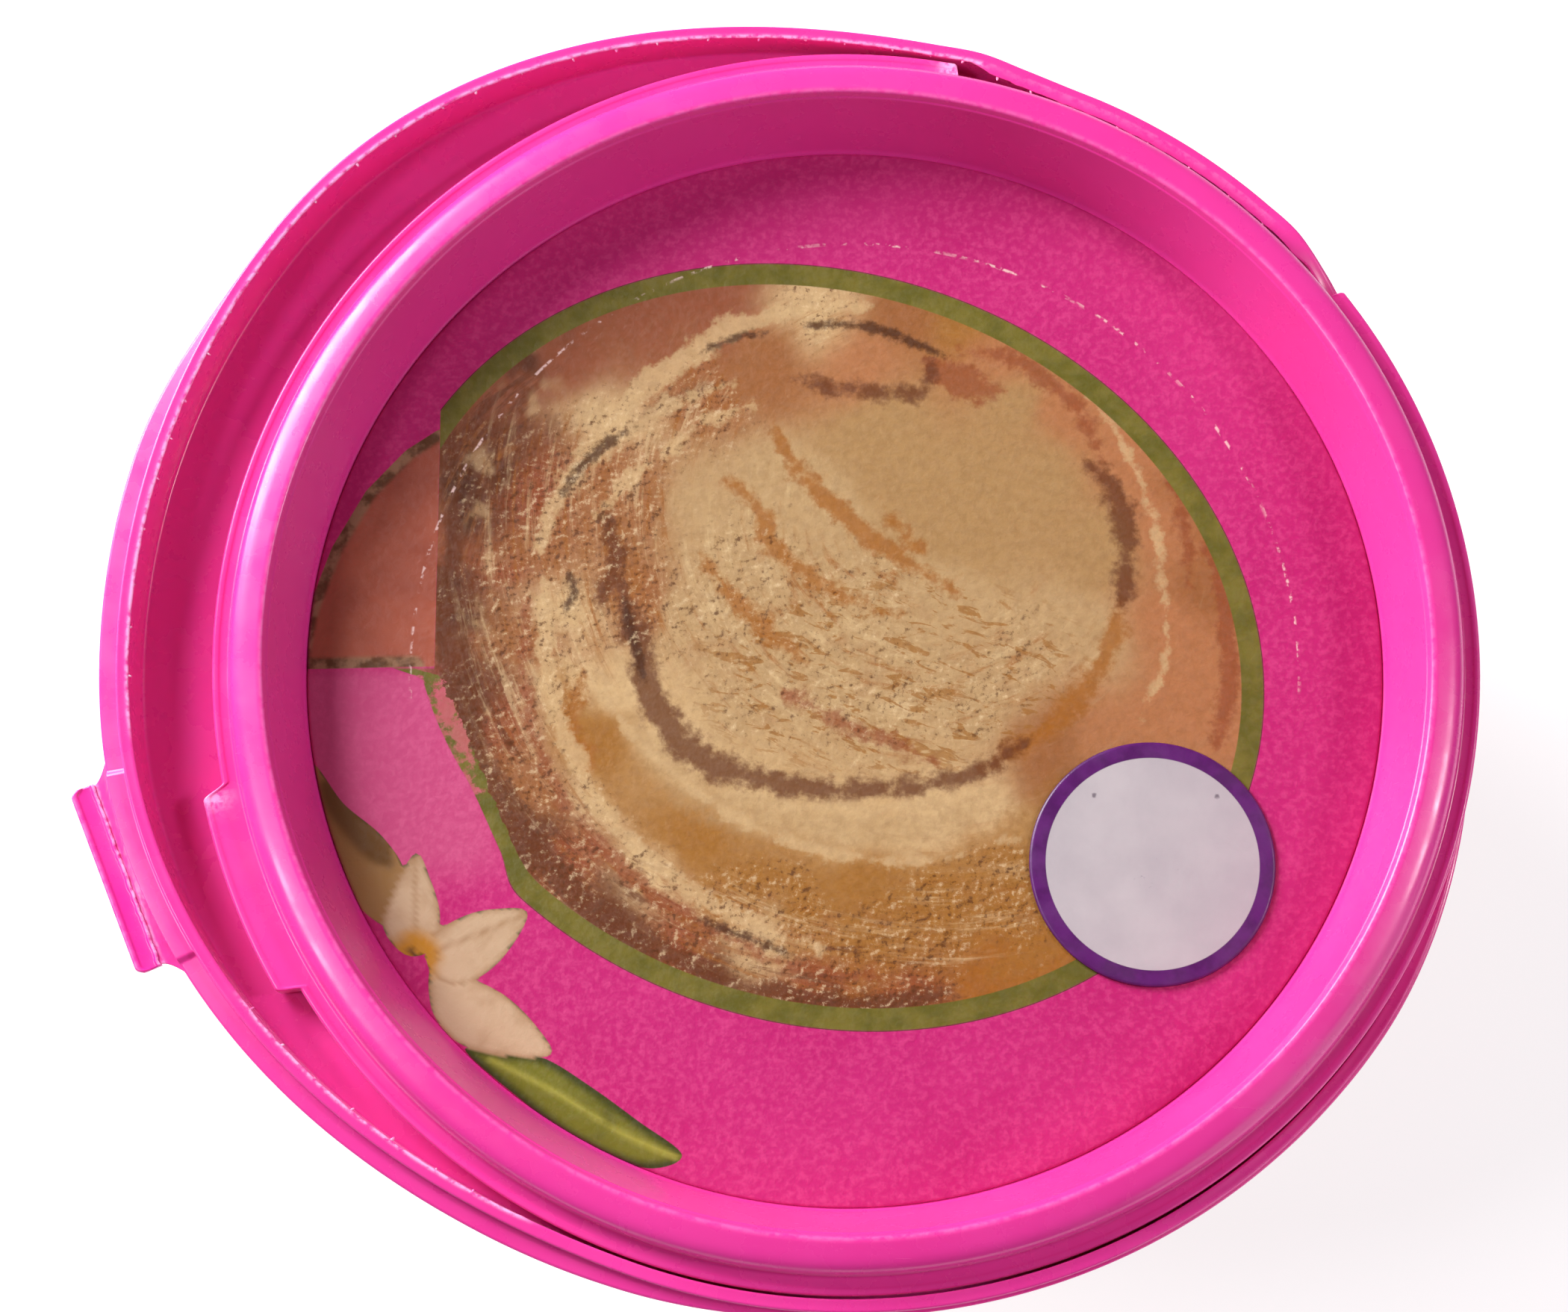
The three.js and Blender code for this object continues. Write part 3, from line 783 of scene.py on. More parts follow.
# Each stroke: half its width, and the points of its centre line.
STROKES = {
    "ochre": (
        (3.6, ((-44, -2), (-41, -10), (-35, -17), (-26, -24), (-15, -29), (-3, -32), (10, -33))),
        (2.6, ((10, -33), (20, -31), (30, -25), (38, -17))),
        (2.0, ((22, -47), (30, -44), (37, -39))),
    ),
    "pale": (
        (2.2, ((-33, -8), (-27, -16), (-18, -22), (-6, -25), (8, -26), (22, -22))),
    ),
    "gold": (
        (0.8, ((-11, 38), (-8, 32), (-4, 26.5), (1, 22), (6, 18), (12, 14), (17, 11))),
        (0.5, ((5.5, 25.5), (8, 21.5), (12, 17))),
        (1.0, ((-18, 29), (-13.5, 25), (-11, 19), (-6, 14), (0, 10), (8, 7))),
        (0.9, ((-22, 17), (-17, 10), (-12, 5), (-6, 0))),
        (1.2, ((21, -16.5), (29, -11.5), (36, -5), (40.5, 2), (42.5, 9))),
        (1.0, ((-40, -2), (-42, -10), (-39, -17))),
    ),
    "rust": (
        (0.9, ((55, 22), (57.5, 14), (58.6, 4), (58.3, -5), (56.5, -13))),
        (0.7, ((-49, 10), (-49, -4), (-46, -15), (-40, -25), (-31, -34), (-20, -41), (-6, -47), (10, -48.5))),
        (1.6, ((13, 48), (16, 46), (20, 44), (24, 43))),
        (0.8, ((40, 32), (38, 38), (33, 44), (27, 48), (18, 50))),
        (0.8, ((-9, -5), (-4, -7.5), (1, -10), (7, -12.5), (14, -15.5))),
        (0.5, ((50, 33), (52.5, 22), (53, 12))),
    ),
    "bark": (
        (1.5, ((-35, 16), (-33.5, 8), (-31, 0), (-29, -7), (-24, -13.5), (-16, -17.5),
               (-6, -19.5), (6, -20))),
        (0.9, ((6, -20), (14, -19), (22, -16), (28, -12))),
        (1.3, ((42.5, 8), (43.5, 15), (43.5, 22), (41.5, 28), (37.5, 31.5))),
        (0.5, ((-34, 36.5), (-28, 40.5), (-20, 44))),
        (0.7, ((-9, 45), (-3, 44), (4, 43), (12, 43), (13.5, 48))),
        (1.0, ((-37, 24), (-35, 16), (-38, 8))),
        (1.7, ((-60, 26), (-61, 8), (-59.5, -5), (-55.5, -16), (-49, -27), (-40, -36),
               (-30, -43), (-18, -49))),
        (1.4, ((-18, -49), (-6, -52), (6, -52.5), (16, -50.5))),
    ),
    "cream": (
        (1.2, ((-47, 17), (-45, 25), (-40, 32), (-36, 38.5), (-31, 44), (-24, 49), (-16, 54),
               (-6, 57), (4, 56.5))),
        (0.6, ((-41, 28), (-36, 34.5), (-30, 39), (-24, 42), (-18, 44))),
        (0.45, ((-39, 22), (-34, 28), (-28, 33), (-22, 38), (-14, 41))),
        (0.8, ((-46.5, 14), (-46, 4), (-44.5, -6), (-40.5, -17), (-34, -26), (-26, -34),
               (-16, -39.5), (-4, -44))),
        (0.0, ((38, 43), (43, 35), (47, 25), (49, 13), (49, 0), (45, -9))),
        (0.4, ((-38, -4), (-31, -13), (-22, -20.5), (-12, -26.5), (0, -30), (14, -30.5), (26, -27))),
        (0.35, ((-12, -22), (-2, -23), (10, -22.5), (20, -20))),
    ),
    "umber": (
        (0.5, ((-44, 26), (-41, 30.5), (-37.5, 34), (-34, 36.5))),
        (0.3, ((-22, 49.5), (-17, 51.8), (-12, 52.5))),
        (0.45, ((-6, 53.5), (0, 54), (6, 53), (12, 50.5), (16, 48.5))),
        (0.5, ((-42.5, 14), (-41.5, 11), (-43, 8))),
        (0.35, ((-22, -39.5), (-15, -42.3), (-8, -45))),
        (0.45, ((-34, 10), (-32.5, 4), (-30.5, -3))),
    ),
}
OVAL_AT = (-4.0, 3.8)                            # centre of the printed oval, mm
OVAL_HALF = (69.4, 58.5)
OVAL_TURN = math.radians(-21.8)
OVAL_BORDER = 3.4
SWIRL_AT = (13.0, 24.0)                          # the print's grain runs round this place
SWIRL_ROUND, RIND_ROUND = 12.0, 30.0             # mm, how far the grain's noise travels per radian
SEAM_X = -62.8                                   # the print starts again here, a little shifted
BLOCK = ((-62.8, 37.0), (-68.0, 33.5), (-74.0, 27.0), (-79.0, 18.0), (-82.5, 8.0), (-84.0, -1.2),
         (-66.0, -0.8), (-62.8, -0.8))
FLOWER_AT = (-64.6, -45.6)
BACK_PETAL = ((-81, -16), (-76, -22), (-70, -27), (-66.3, -33), (-67, -41), (-73, -38), (-78, -30))
BACK_FOLD = (1.6, ((-79, -19), (-74, -25), (-69, -31)))
PETALS = (
    ((-65, -29.5), (-62.6, -33.5), (-61, -39), (-62, -44), (-66, -45), (-69.5, -41), (-68.5, -36)),
    ((-62, -46), (-57, -48), (-51, -51), (-46.3, -55.5), (-44, -59.8), (-51, -60), (-58, -58), (-62, -53)),
    ((-47.8, -38.7), (-53, -38), (-58, -39.3), (-62.5, -42.5), (-62.5, -47), (-58, -49.5), (-52, -46)),
)
LEAF = ((-57, -59), (-51, -59.5), (-45, -60.3), (-38, -64.5), (-31, -69.5), (-24.3, -74.6),
        (-30, -76.5), (-40, -72.5), (-49, -66))
SCUFF_AT, SCUFF_R = (1.5, -0.8), 68.0            # a ring of fine scuffs left by a stacked tub
FAR = 4.0                                        # mm, depths are not needed further out than this
# Each ink: how soft the edge of its strokes is, in mm, and how much they cover.
INKS = (("ochre", 2.4, 0.7), ("pale", 1.8, 0.6), ("gold", 0.9, 0.8), ("rust", 0.9, 0.75),
        ("bark", 1.1, 0.85), ("cream", 0.7, 0.8), ("umber", 0.6, 0.85))
BADGE_DOTS = {"dot_left": (-8.6, 10.4), "dot_right": (10.0, 10.2)}
BADGE_BORDER = (2.55, 2.4)                       # mm from the badge's edge, where purple gives way


def lattice(ix, iy, seed):
    """Repeatable values from 0 to 1 at whole-number places."""
    n = (ix * 374761393 + iy * 668265263 + seed * 974634777) & 0x7FFFFFFF
    n = ((n ^ (n >> 13)) * 1274126177) & 0x7FFFFFFF
    return ((n ^ (n >> 16)) & 0xFFFF) / 65535.0


def cloud(x, y, size, seed, layers=3):
    """Layered smooth noise from -1 to 1, with its widest features size millimetres across."""
    total = np.zeros(len(x))
    for k in range(layers):
        gx, gy = x * 2 ** k / size + 7.3 * k, y * 2 ** k / size - 5.1 * k
        ix, iy = np.floor(gx).astype(np.int64), np.floor(gy).astype(np.int64)
        tx, ty = gx - ix, gy - iy
        tx, ty = tx * tx * (3 - 2 * tx), ty * ty * (3 - 2 * ty)
        low = lerp(lattice(ix, iy, seed), lattice(ix + 1, iy, seed), tx)
        high = lerp(lattice(ix, iy + 1, seed), lattice(ix + 1, iy + 1, seed), tx)
        total += (2 * lerp(low, high, ty) - 1) / 2 ** k
    return total / (2 - 0.5 ** (layers - 1))


def flowing(points, closed=False, steps=6):
    """A smooth curve through a few points, as more points."""
    p = np.array(points, dtype=float)
    count = len(p)
    out = []
    for i in range(count if closed else count - 1):
        near = [(i + k) % count if closed else min(max(i + k, 0), count - 1) for k in (-1, 0, 1, 2)]
        out += [through(*p[near], t) for t in np.arange(steps) / steps]
    if not closed:
        out.append(p[-1])
    return np.array(out)


def distance_to(x, y, line, closed=False):
    """Distance from each place to a line, and how far along the line its nearest point is."""
    ends = np.roll(line, -1, axis=0) if closed else line[1:]
    starts = line if closed else line[:-1]
    best = np.full(len(x), 1e9)
    along = np.zeros(len(x))
    for i, (a, b) in enumerate(zip(starts, ends)):
        run = b - a
        t = np.clip(((x - a[0]) * run[0] + (y - a[1]) * run[1]) / (run @ run), 0, 1)
        d = np.hypot(x - a[0] - t * run[0], y - a[1] - t * run[1])
        along = np.where(d < best, (i + t) / len(starts), along)
        best = np.minimum(best, d)
    return best, along


def beside(x, y, line):
    """Which places are near enough to a line's box to matter."""
    return ((x > line[:, 0].min() - FAR) & (x < line[:, 0].max() + FAR)
            & (y > line[:, 1].min() - FAR) & (y < line[:, 1].max() + FAR))


def stroke_depth(x, y, strokes, taper=0.75):
    """How deep each place lies inside any of the strokes, in mm; negative outside."""
    depth = np.full(len(x), -FAR)
    for half, points in strokes:
        line = flowing(points)
        near = beside(x, y, line)
        d, along = distance_to(x[near], y[near], line)
        width = (1.35 * half + 0.15) * (1 - taper * np.abs(2 * along - 1) ** 3)
        depth[near] = np.maximum(depth[near], width - d)
    return depth


def outline_depth(x, y, points, smooth_line=True):
    """How deep each place lies inside a closed outline, in mm; negative outside."""
    line = flowing(points, closed=True) if smooth_line else np.array(points, dtype=float)
    depth = np.full(len(x), -FAR)
    near = beside(x, y, line)
    px, py = x[near], y[near]
    inside = np.zeros(len(px), dtype=bool)
    for a, b in zip(line, np.roll(line, -1, axis=0)):
        if a[1] != b[1]:
            crosses = (a[1] > py) != (b[1] > py)
            inside ^= crosses & (px < a[0] + (b[0] - a[0]) * (py - a[1]) / (b[1] - a[1]))
    d, _ = distance_to(px, py, line, closed=True)
    depth[near] = np.where(inside, d, -d)
    return depth


def broad_colours(x, y):
    """The print's broad colours and its graininess, blended between the anchors."""
    wx = x + 3.5 * cloud(x, y, 11.0, 1)
    wy = y + 3.5 * cloud(x, y, 11.0, 2)
    colour, grain, total = np.zeros((len(x), 3)), np.zeros(len(x)), np.zeros(len(x))
    for name, grainy, spots in ANCHORS:
        for ax, ay in spots:
            weight = 1 / ((wx - ax) ** 2 + (wy - ay) ** 2 + 14.0) ** 2.4
            colour += weight[:, None] * np.array(ink(name))
            grain += weight * grainy
            total += weight
    return colour / total[:, None], grain / total


def blend_colour(base, colour, share):
    return base + (np.array(colour) - base) * share[:, None]


def oval_field(x, y):
    """About how deep each place lies inside the printed oval, in mm."""
    u = (x - OVAL_AT[0]) * math.cos(OVAL_TURN) + (y - OVAL_AT[1]) * math.sin(OVAL_TURN)
    v = -(x - OVAL_AT[0]) * math.sin(OVAL_TURN) + (y - OVAL_AT[1]) * math.cos(OVAL_TURN)
    rho = np.hypot(u / OVAL_HALF[0], v / OVAL_HALF[1])
    steep = np.hypot(u / OVAL_HALF[0] ** 2, v / OVAL_HALF[1] ** 2) / np.maximum(rho, 0.05)
    return (1 - rho) / steep


def flower_colours(x, y):
    """Depth inside the flower's petals, and their colours."""
    white, tan, shade = linear(194, 164, 132), linear(150, 112, 66), linear(146, 104, 62)
    depth = outline_depth(x, y, BACK_PETAL)
    fold = smooth(stroke_depth(x, y, (BACK_FOLD,)), -1.2, 0.8)
    colour = blend_colour(np.tile(np.array(tan), (len(x), 1)), linear(104, 72, 36), fold)
    for petal in PETALS:
        field = outline_depth(x, y, petal)
        tip = np.array(petal[0])
        vein, _ = distance_to(x, y, np.array([tip, FLOWER_AT]))
        own = blend_colour(np.tile(np.array(white), (len(x), 1)), shade, 0.55 * smooth(field, 1.0, 0.0))
        own = blend_colour(own, shade, 0.5 * np.exp(-(vein / 0.35) ** 2))
        own = blend_colour(own, shade, 0.3 * smooth(cloud(x, y, 3.0, 5), -0.2, 0.6))
        colour = np.where((field > 0)[:, None], own, colour)
        depth = np.maximum(depth, field)
    heart = np.hypot(x - FLOWER_AT[0], y - FLOWER_AT[1]) + 0.9 * cloud(x, y, 1.8, 6)
    colour = blend_colour(colour, linear(182, 124, 36), smooth(heart, 5.2, 2.6))
    seeds = smooth(heart, 3.8, 2.6) * smooth(cloud(x, y, 1.3, 7), 0.1, 0.4)
    colour = blend_colour(colour, linear(96, 56, 16), seeds)
    return depth, colour


def leaf_colours(x, y):
    depth = outline_depth(x, y, LEAF)
    rib, _ = distance_to(x, y, flowing(((-53, -60.5), (-43, -65.5), (-33, -71.5), (-25, -75))))
    colour = np.tile(np.array(linear(112, 112, 36)), (len(x), 1))
    colour = blend_colour(colour, linear(56, 60, 22), smooth(depth, 1.8, 0.2))
    colour = blend_colour(colour, linear(160, 158, 66), 0.8 * np.exp(-(rib / 0.5) ** 2))
    return depth, blend_colour(colour, linear(66, 68, 24), 0.6 * smooth(cloud(x, y, 4.0, 8), 0.0, 0.6))


def label_art(obj):
    p = places(obj)
    x, y = p[:, 0].astype(float), p[:, 1].astype(float)
    colour, grain = broad_colours(x, y)
    rind = smooth(-x, 40, 50) * smooth(oval_field(x, y), 22, 12)
    dark = smooth(cloud(x, y, 6.0, 3), 0.05, 0.5)
    light = smooth(cloud(x, y, 4.0, 4), 0.25, 0.6)
    colour = blend_colour(colour, ink("umber"), 0.75 * rind * dark)
    colour = blend_colour(colour, ink("cream"), 0.5 * rind * light)
    # A greyish pink laid over the print's lower-left edge is painted glare.
    painted_glare_left = smooth(-x, 57, 66) * smooth(y, 2, -4)
    colour = blend_colour(colour, linear(182, 92, 92), painted_glare_left * 0.8)
    colour_attribute(obj, "print", colour)
    float_attribute(obj, "grain", grain)
    for name, strokes in STROKES.items():
        float_attribute(obj, name, stroke_depth(x, y, strokes))
    turn = np.arctan2(y - SWIRL_AT[1], x - SWIRL_AT[0])
    reach = np.hypot(x - SWIRL_AT[0], y - SWIRL_AT[1])
    vector_attribute(obj, "swirl", np.c_[reach, np.cos(turn) * SWIRL_ROUND, np.sin(turn) * SWIRL_ROUND])
    # The worn zone: the print's border is worn back here, and the label's pink also carries a painted glare
    # veil here.
    worn = smooth(-x, 46, 58) * smooth(y, 0, -3) * (1 - smooth(-y, 29, 37))
    inside = oval_field(x, y)
    around = np.arctan2(y - OVAL_AT[1], x - OVAL_AT[0])
    rings = np.c_[inside, np.cos(around) * RIND_ROUND, np.sin(around) * RIND_ROUND]
    vector_attribute(obj, "rind", rings)
    low_left = np.maximum(smooth(-x - y, 24, 44), smooth(-x, 44, 52))
    float_attribute(obj, "rind_share", low_left * smooth(inside, 20, 14) * smooth(inside, 2, 4))
    float_attribute(obj, "dashes", smooth(1 - np.hypot((x - 7) / 36, (y + 2) / 19), 0.0, 0.35))
    float_attribute(obj, "oval", inside)
    float_attribute(obj, "worn", worn)
    float_attribute(obj, "block", outline_depth(x, y, BLOCK, smooth_line=False))
    rim, _ = distance_to(x, y, np.array(BLOCK[:7]))
    float_attribute(obj, "block_rim", np.minimum(rim, FAR))
    flower, flower_paint = flower_colours(x, y)
    leaf, leaf_paint = leaf_colours(x, y)
    float_attribute(obj, "flower", flower)
    float_attribute(obj, "leaf", leaf)
    colour_attribute(obj, "plant", np.where((flower > 0)[:, None], flower_paint, leaf_paint))
    scuff = np.abs(np.hypot(x - SCUFF_AT[0], y - SCUFF_AT[1]) - SCUFF_R)
    float_attribute(obj, "scuff", scuff + 2.0 * smooth(-y, 5, 30))


def label_material():
    s = Surface("label_print", 0.36)
    grain = s.noise(1150.0, 2.0, 0.55)
    mottle = s.fit(s.noise(26.0, 3.0), 0.3, 0.7)
    pink = s.mix(mottle, linear(192, 40, 114), linear(182, 30, 104))
    # Lighter pink specks on the raised bumps of the orange-peel film are painted glints. They use the same
    # noise as the bump.
    pink = s.mix(s.fit(grain, 0.4, 0.75, 0.0, 0.3), pink, linear(226, 70, 140))
    # A paler, greyer pink over the worn zone is a painted glare veil.
    painted_glare_veil = s.math("MULTIPLY", s.attribute("worn"), 0.5)
    pink = s.mix(painted_glare_veil, pink, linear(205, 96, 136))

    fine = s.noise(620.0, 5.0, 0.68)
    coarse = s.noise(190.0, 4.0, 0.62)
    grains = s.attribute("grain")
    lumps = s.noise(360.0, 6.0, 0.7)
    shifted = s.add("ShaderNodeVectorMath", operation="ADD")
    s.feed(shifted.inputs[0], s.here())
    shifted.inputs[1].default_value = (-0.4 * MM, 0.4 * MM, 0.0)
    lit = s.math("SUBTRACT", lumps, s.noise(360.0, 6.0, 0.7, shifted.outputs["Vector"]))
    relief = s.math("MULTIPLY", lit, grains)
    streaks = s.noise(0.55, 6.0, 0.66, s.scaled(s.attribute("swirl", "Vector"), (1.0, 0.42, 0.42)), 0.25)
    streaky = s.math("MULTIPLY", s.math("SUBTRACT", streaks, 0.5), s.math("ADD", grains, 0.2))
    layers = s.noise(0.42, 6.0, 0.68, s.scaled(s.attribute("rind", "Vector"), (1.0, 0.3, 0.3)), 0.3)
    rind = s.attribute("rind_share")

    art = s.attribute("print", "Color")
    art = s.mix(s.math("MULTIPLY", rind, s.fit(layers, 0.52, 0.64, 0.0, 0.8)), art, ink("bark"))
    art = s.mix(s.math("MULTIPLY", rind, s.fit(layers, 0.46, 0.36, 0.0, 0.55)), art, ink("tan"))
    art = s.mix(s.fit(streaky, 0.02, 0.2, 0.0, 0.8), art, linear(150, 90, 34))
    art = s.mix(s.fit(streaky, -0.02, -0.2, 0.0, 0.5), art, linear(214, 184, 138))
    art = s.mix(s.math("MULTIPLY", s.fit(coarse, 0.52, 0.72), s.math("MULTIPLY", grains, 0.4)), art,
                ink("tan"))
    turned = s.add("ShaderNodeVectorRotate", rotation_type="Z_AXIS")
    turned.inputs["Angle"].default_value = math.radians(16)
    s.feed(turned.inputs["Vector"], s.here())
    dashes = s.noise(1.0, 4.0, 0.62, s.scaled(turned.outputs["Vector"], (190.0, 620.0, 1.0)), 0.7)
    dashes = s.math("MULTIPLY", s.fit(dashes, 0.55, 0.61), s.attribute("dashes"))
    art = s.mix(s.math("MULTIPLY", dashes, 0.75), art, linear(150, 98, 40))
    ragged = s.math("ADD", s.math("MULTIPLY", s.math("SUBTRACT", fine, 0.5), 3.6),
                    s.math("MULTIPLY", s.math("SUBTRACT", coarse, 0.5), 6.0))
    crumbly = s.math("MULTIPLY", s.math("SUBTRACT", fine, 0.5), 3.0)
    for name, soft, most in INKS:
        inked = s.math("ADD", s.attribute(name), crumbly if name == "umber" else ragged)
        art = s.mix(s.fit(inked, -soft, soft, 0.0, most), art, ink(name))
    art = s.mix(s.fit(relief, 0.02, 0.16, 0.0, 0.55), art, linear(230, 202, 160))
    art = s.mix(s.fit(relief, -0.02, -0.13, 0.0, 0.8), art, linear(84, 44, 18))
    art = s.mix(s.fit(fine, 0.35, 0.7, 0.0, 0.2), art, linear(104, 64, 30))

    olive = s.mix(s.fit(s.noise(240.0, 4.0), 0.35, 0.65), linear(96, 90, 32), linear(114, 104, 42))
    worn = s.attribute("worn")
    depth = s.math("SUBTRACT", s.attribute("oval"), s.math("MULTIPLY", worn, 5.5))
    scraps = s.fit(s.math("ADD", s.noise(170.0, 5.0, 0.65), s.math("MULTIPLY", worn, -0.5)), 0.02, 0.1)
    bare = s.mix(s.fit(s.noise(70.0, 4.0), 0.3, 0.7), linear(196, 82, 106), linear(172, 96, 90))
    bare = s.mix(worn, pink, bare)
    edge = s.math("SUBTRACT", s.fit(depth, -0.16, -0.02), s.math("MULTIPLY", worn, 0.9))
    colour = s.mix(s.math("MAXIMUM", edge, 0.0), pink, linear(84, 50, 36))
    colour = s.mix(s.fit(depth, 0.0, 0.14), colour, bare)
    colour = s.mix(s.math("MULTIPLY", s.fit(depth, 0.0, 0.14), scraps), colour, olive)
    soft_edge = s.math("ADD", depth, s.math("MULTIPLY", s.math("MULTIPLY", ragged, worn), 0.8))
    colour = s.mix(s.fit(soft_edge, OVAL_BORDER - 0.1, OVAL_BORDER + 0.1), colour, art)

    at = s.add("ShaderNodeSeparateXYZ")
    s.feed(at.inputs["Vector"], s.here())
    left = s.fit(at.outputs["X"], (SEAM_X + 0.06) * MM, (SEAM_X - 0.06) * MM)
    above = s.math("MULTIPLY", left, s.fit(at.outputs["Y"], -1.4 * MM, -0.6 * MM))
    colour = s.mix(above, colour, pink)
    block = s.attribute("block")
    peachy = s.mix(s.fit(s.noise(60.0, 4.0), 0.3, 0.7), linear(172, 92, 70), linear(146, 74, 58))
    rim_colour = s.mix(s.fit(s.noise(300.0, 4.0), 0.4, 0.6), linear(96, 62, 38), linear(150, 112, 84))
    rim = s.math("MULTIPLY", s.fit(block, -0.1, 0.1), s.fit(s.attribute("block_rim"), 2.2, 1.2))
    colour = s.mix(s.fit(block, -0.1, 0.1), colour, peachy)
    colour = s.mix(s.math("MULTIPLY", rim, left), colour, rim_colour)

    colour = s.mix(s.fit(s.attribute("leaf"), -0.06, 0.12), colour, s.attribute("plant", "Color"))
    colour = s.mix(s.fit(s.attribute("flower"), -0.06, 0.12), colour, s.attribute("plant", "Color"))

    dots = s.fit(s.noise(760.0, 2.0), 0.5, 0.62)
    dotted = s.math("MULTIPLY", s.fit(s.attribute("scuff"), 0.34, 0.1), dots)
    colour = s.mix(s.math("MULTIPLY", dotted, 0.75), colour, linear(240, 206, 200))
    rough = s.fit(grain, 0.3, 0.7, 0.30, 0.46)
    s.bump(s.math("ADD", grain, s.math("MULTIPLY", s.noise(520.0, 2.0), 0.8)), 0.12, 0.6)
    s.shader.inputs["IOR"].default_value = 1.5
    return s.finish(colour, rough)


def film_disc(name, radius, low, high, rings, count, dish):
    """A thin printed film, lying very slightly uneven, with a soft edge."""
    def section(degrees):
        x, y = math.cos(math.radians(degrees)), math.sin(math.radians(degrees))
        under = [(0.0, low), (radius, low)]
        over = []
        for k in range(rings, -1, -1):
            r = radius * k / rings
            lift = dish * (0.5 + 0.5 * wobble(x * r, y * r, 0, 0.05)) if k else dish / 2
            over.append((r - (0.12 if k == rings else 0.0), high - lift - (0.05 if k == rings else 0.0)))
        return under + over

    return sweep(name, dense_angles(count, ()), section)


def make_label():
    radius = LABEL_HIGH[0] / MM
    obj = film_disc("lid_label_film", radius, LABEL_LOW[2] / MM, LABEL_HIGH[2] / MM, 165, 560, 0.06)
    label_art(obj)
    paint(obj, label_material())
    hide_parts("lid_label")
    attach(obj, "lid")


def make_badge():
    centre = (Vector(BADGE_LOW) + Vector(BADGE_HIGH)) / 2 / MM
    radius = (BADGE_HIGH[0] - BADGE_LOW[0]) / 2 / MM
    obj = film_disc("lid_badge_film", radius, BADGE_LOW[2] / MM, BADGE_HIGH[2] / MM, 40, 180, 0.05)
    for vertex in obj.data.vertices:
        vertex.co.x += centre.x * MM
        vertex.co.y += centre.y * MM
    p = places(obj)
    float_attribute(obj, "reach", np.hypot(p[:, 0] - centre.x, p[:, 1] - centre.y))
    s = Surface("badge_print", 0.4)
    reach = s.attribute("reach")
    pale = s.mix(s.fit(s.noise(60.0, 5.0), 0.3, 0.7), linear(190, 181, 184), linear(176, 167, 172))
    smear = s.math("MULTIPLY", s.fit(s.noise(240.0, 6.0, 0.75, None, 1.5), 0.62, 0.68), s.fit(reach, 7, 2))
    pale = s.mix(s.math("MULTIPLY", smear, 0.7), pale, linear(132, 124, 136))
    purple = s.mix(s.fit(s.noise(300.0, 3.0), 0.35, 0.65), linear(78, 20, 88), linear(92, 28, 104))
    for name, (dot_x, dot_y) in BADGE_DOTS.items():
        near = np.hypot(p[:, 0] - centre.x - dot_x, p[:, 1] - centre.y - dot_y)
        float_attribute(obj, name, near)
        pale = s.mix(s.fit(s.attribute(name), 0.55, 0.25, 0.0, 0.8), pale, linear(96, 84, 96))
    colour = s.mix(s.fit(reach, radius - BADGE_BORDER[0], radius - BADGE_BORDER[1]), pale, purple)
    s.bump(s.noise(900.0, 3.0), 0.1, 0.45)
    paint(obj, s.finish(colour, s.fit(s.noise(200.0, 4.0), 0.3, 0.7, 0.32, 0.48)))
    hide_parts("lid_badge")
    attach(obj, "lid")


# ---------------------------------------------------------------- stage, light and camera
FLOOR_HALF = 20.0                                # metres
FLOOR_GLOW = 0.68                                # keeps the background as white as the photo's


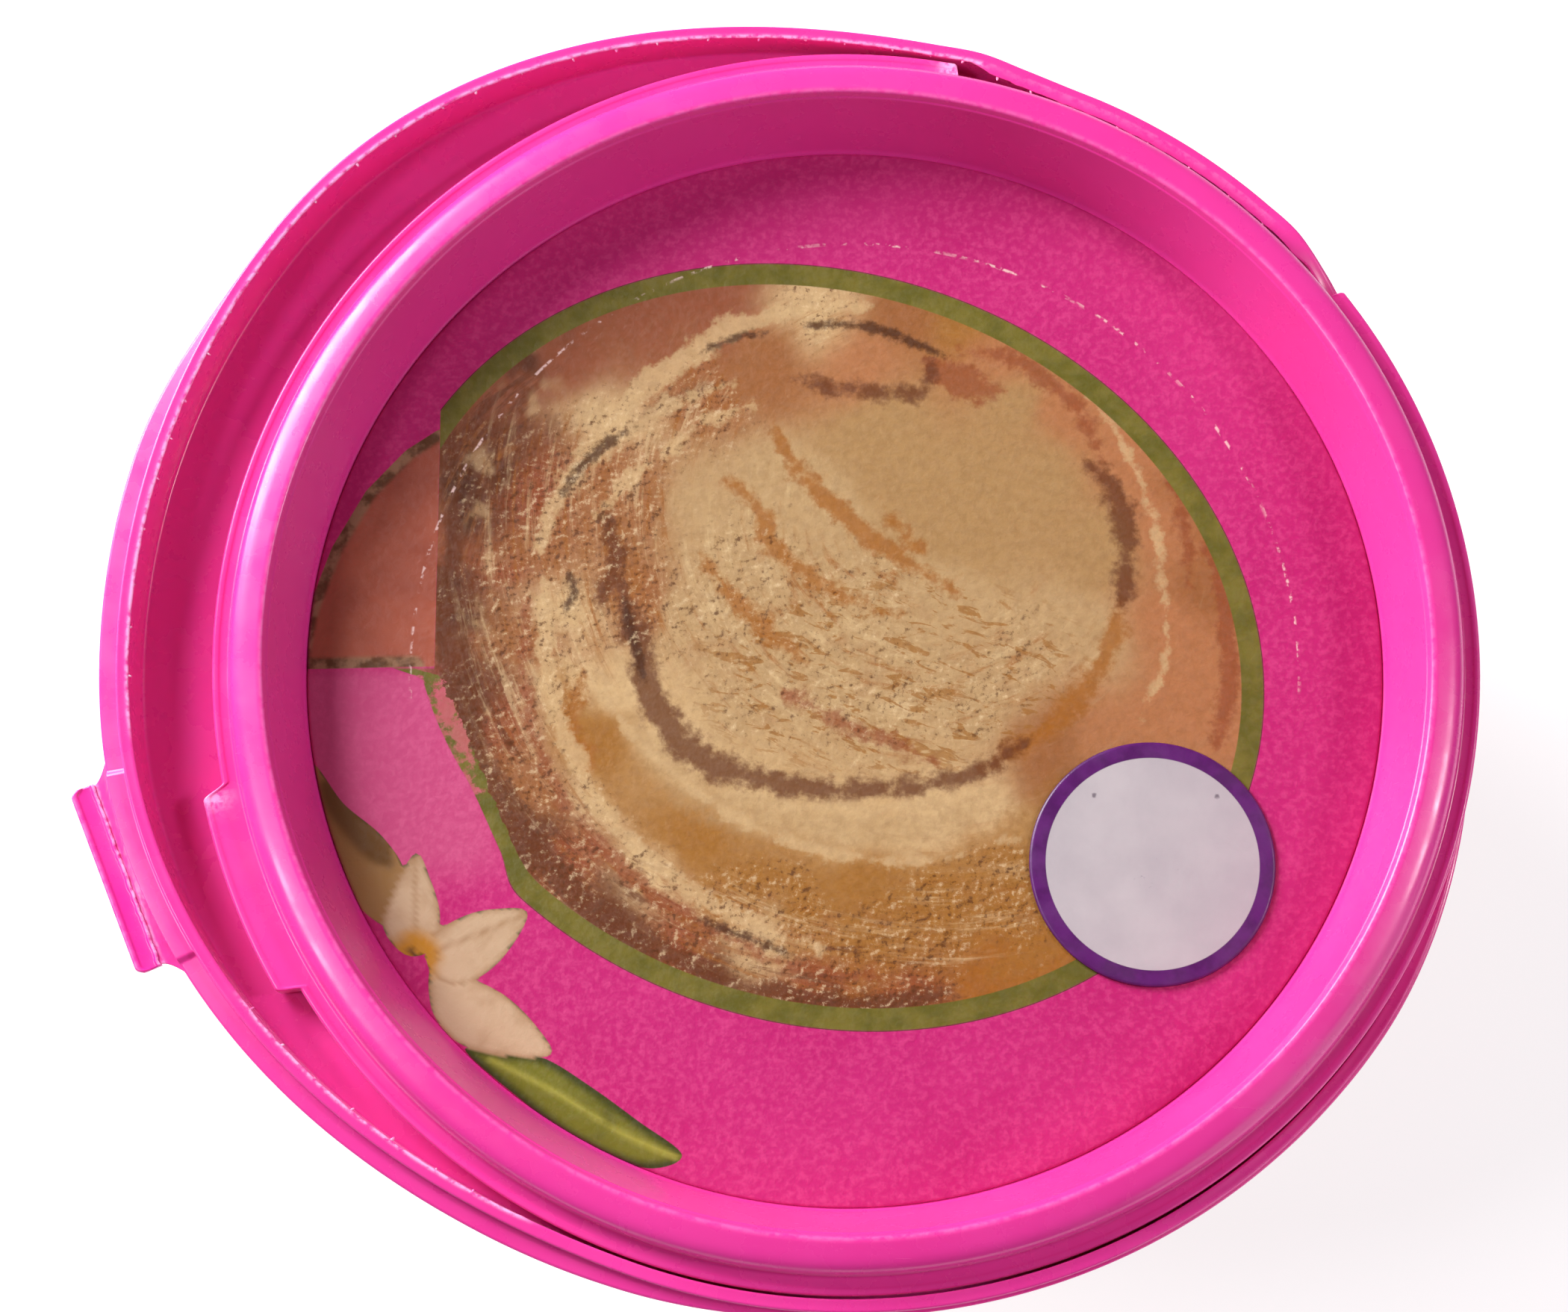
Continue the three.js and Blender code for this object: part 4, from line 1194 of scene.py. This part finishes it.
def make_floor():
    size = FLOOR_HALF
    obj = new_object("floor", [(-size, -size, 0), (size, -size, 0), (size, size, 0), (-size, size, 0)],
                     [(0, 1, 2, 3)])
    s = Surface("floor_pale", 0.8)
    s.shader.inputs["Emission Color"].default_value = (1.0, 0.98, 0.99, 1.0)
    s.shader.inputs["Emission Strength"].default_value = FLOOR_GLOW
    paint(obj, s.finish(linear(200, 198, 200)))


def area_light(name, place, target, size, power, colour=(1, 1, 1)):
    data = bpy.data.lights.new(name, "AREA")
    data.shape = "DISK"
    data.size = size
    data.energy = power
    data.color = colour
    obj = bpy.data.objects.new(name, data)
    obj.location = place
    obj.rotation_euler = (Vector(target) - Vector(place)).to_track_quat("-Z", "Y").to_euler()
    bpy.context.scene.collection.objects.link(obj)


def make_lights():
    lid_centre = (0, 0, LEDGE_Z * MM)
    area_light("window", (-0.62, 0.52, 0.60), lid_centre, 0.5, 13.0)
    area_light("low_window", (-0.86, 0.50, 0.32), lid_centre, 0.4, 6.0)
    area_light("room", (0.78, -0.5, 0.42), lid_centre, 0.8, 2.4, (1.0, 0.97, 0.98))
    area_light("side_left", (-0.62, -0.12, 0.92), lid_centre, 0.22, 2.4)
    area_light("side_right", (0.70, 0.0, 0.82), lid_centre, 0.16, 2.6)
    world = bpy.data.worlds.new("studio")
    world.use_nodes = True
    backdrop = world.node_tree.nodes["Background"]
    backdrop.inputs["Color"].default_value = (1.0, 0.985, 1.0, 1.0)
    backdrop.inputs["Strength"].default_value = 0.04
    bpy.context.scene.world = world
    bpy.context.scene.view_settings.view_transform = "Standard"


def make_camera():
    """Looks down on the lid, about 12 degrees off the vertical, a little left of its middle."""
    aim = Vector((-9.3, -1.2, LEDGE_Z)) * MM
    tilt = math.radians(11.8)
    distance = 0.45
    data = bpy.data.cameras.new("camera")
    data.sensor_width = 36.0
    data.lens = 69.0
    data.clip_start = 0.01
    camera = bpy.data.objects.new("camera", data)
    camera.location = aim + Vector((0, -math.sin(tilt), math.cos(tilt))) * distance
    camera.rotation_euler = (tilt, 0, 0)
    bpy.context.scene.collection.objects.link(camera)
    bpy.context.scene.camera = camera


make_camera()
ring_shape = Ring()
make_tub()
make_wrap()
make_ring(ring_shape)
make_stubs(ring_shape)
make_tab(ring_shape)
make_lid()
make_label()
make_badge()
make_floor()
make_lights()
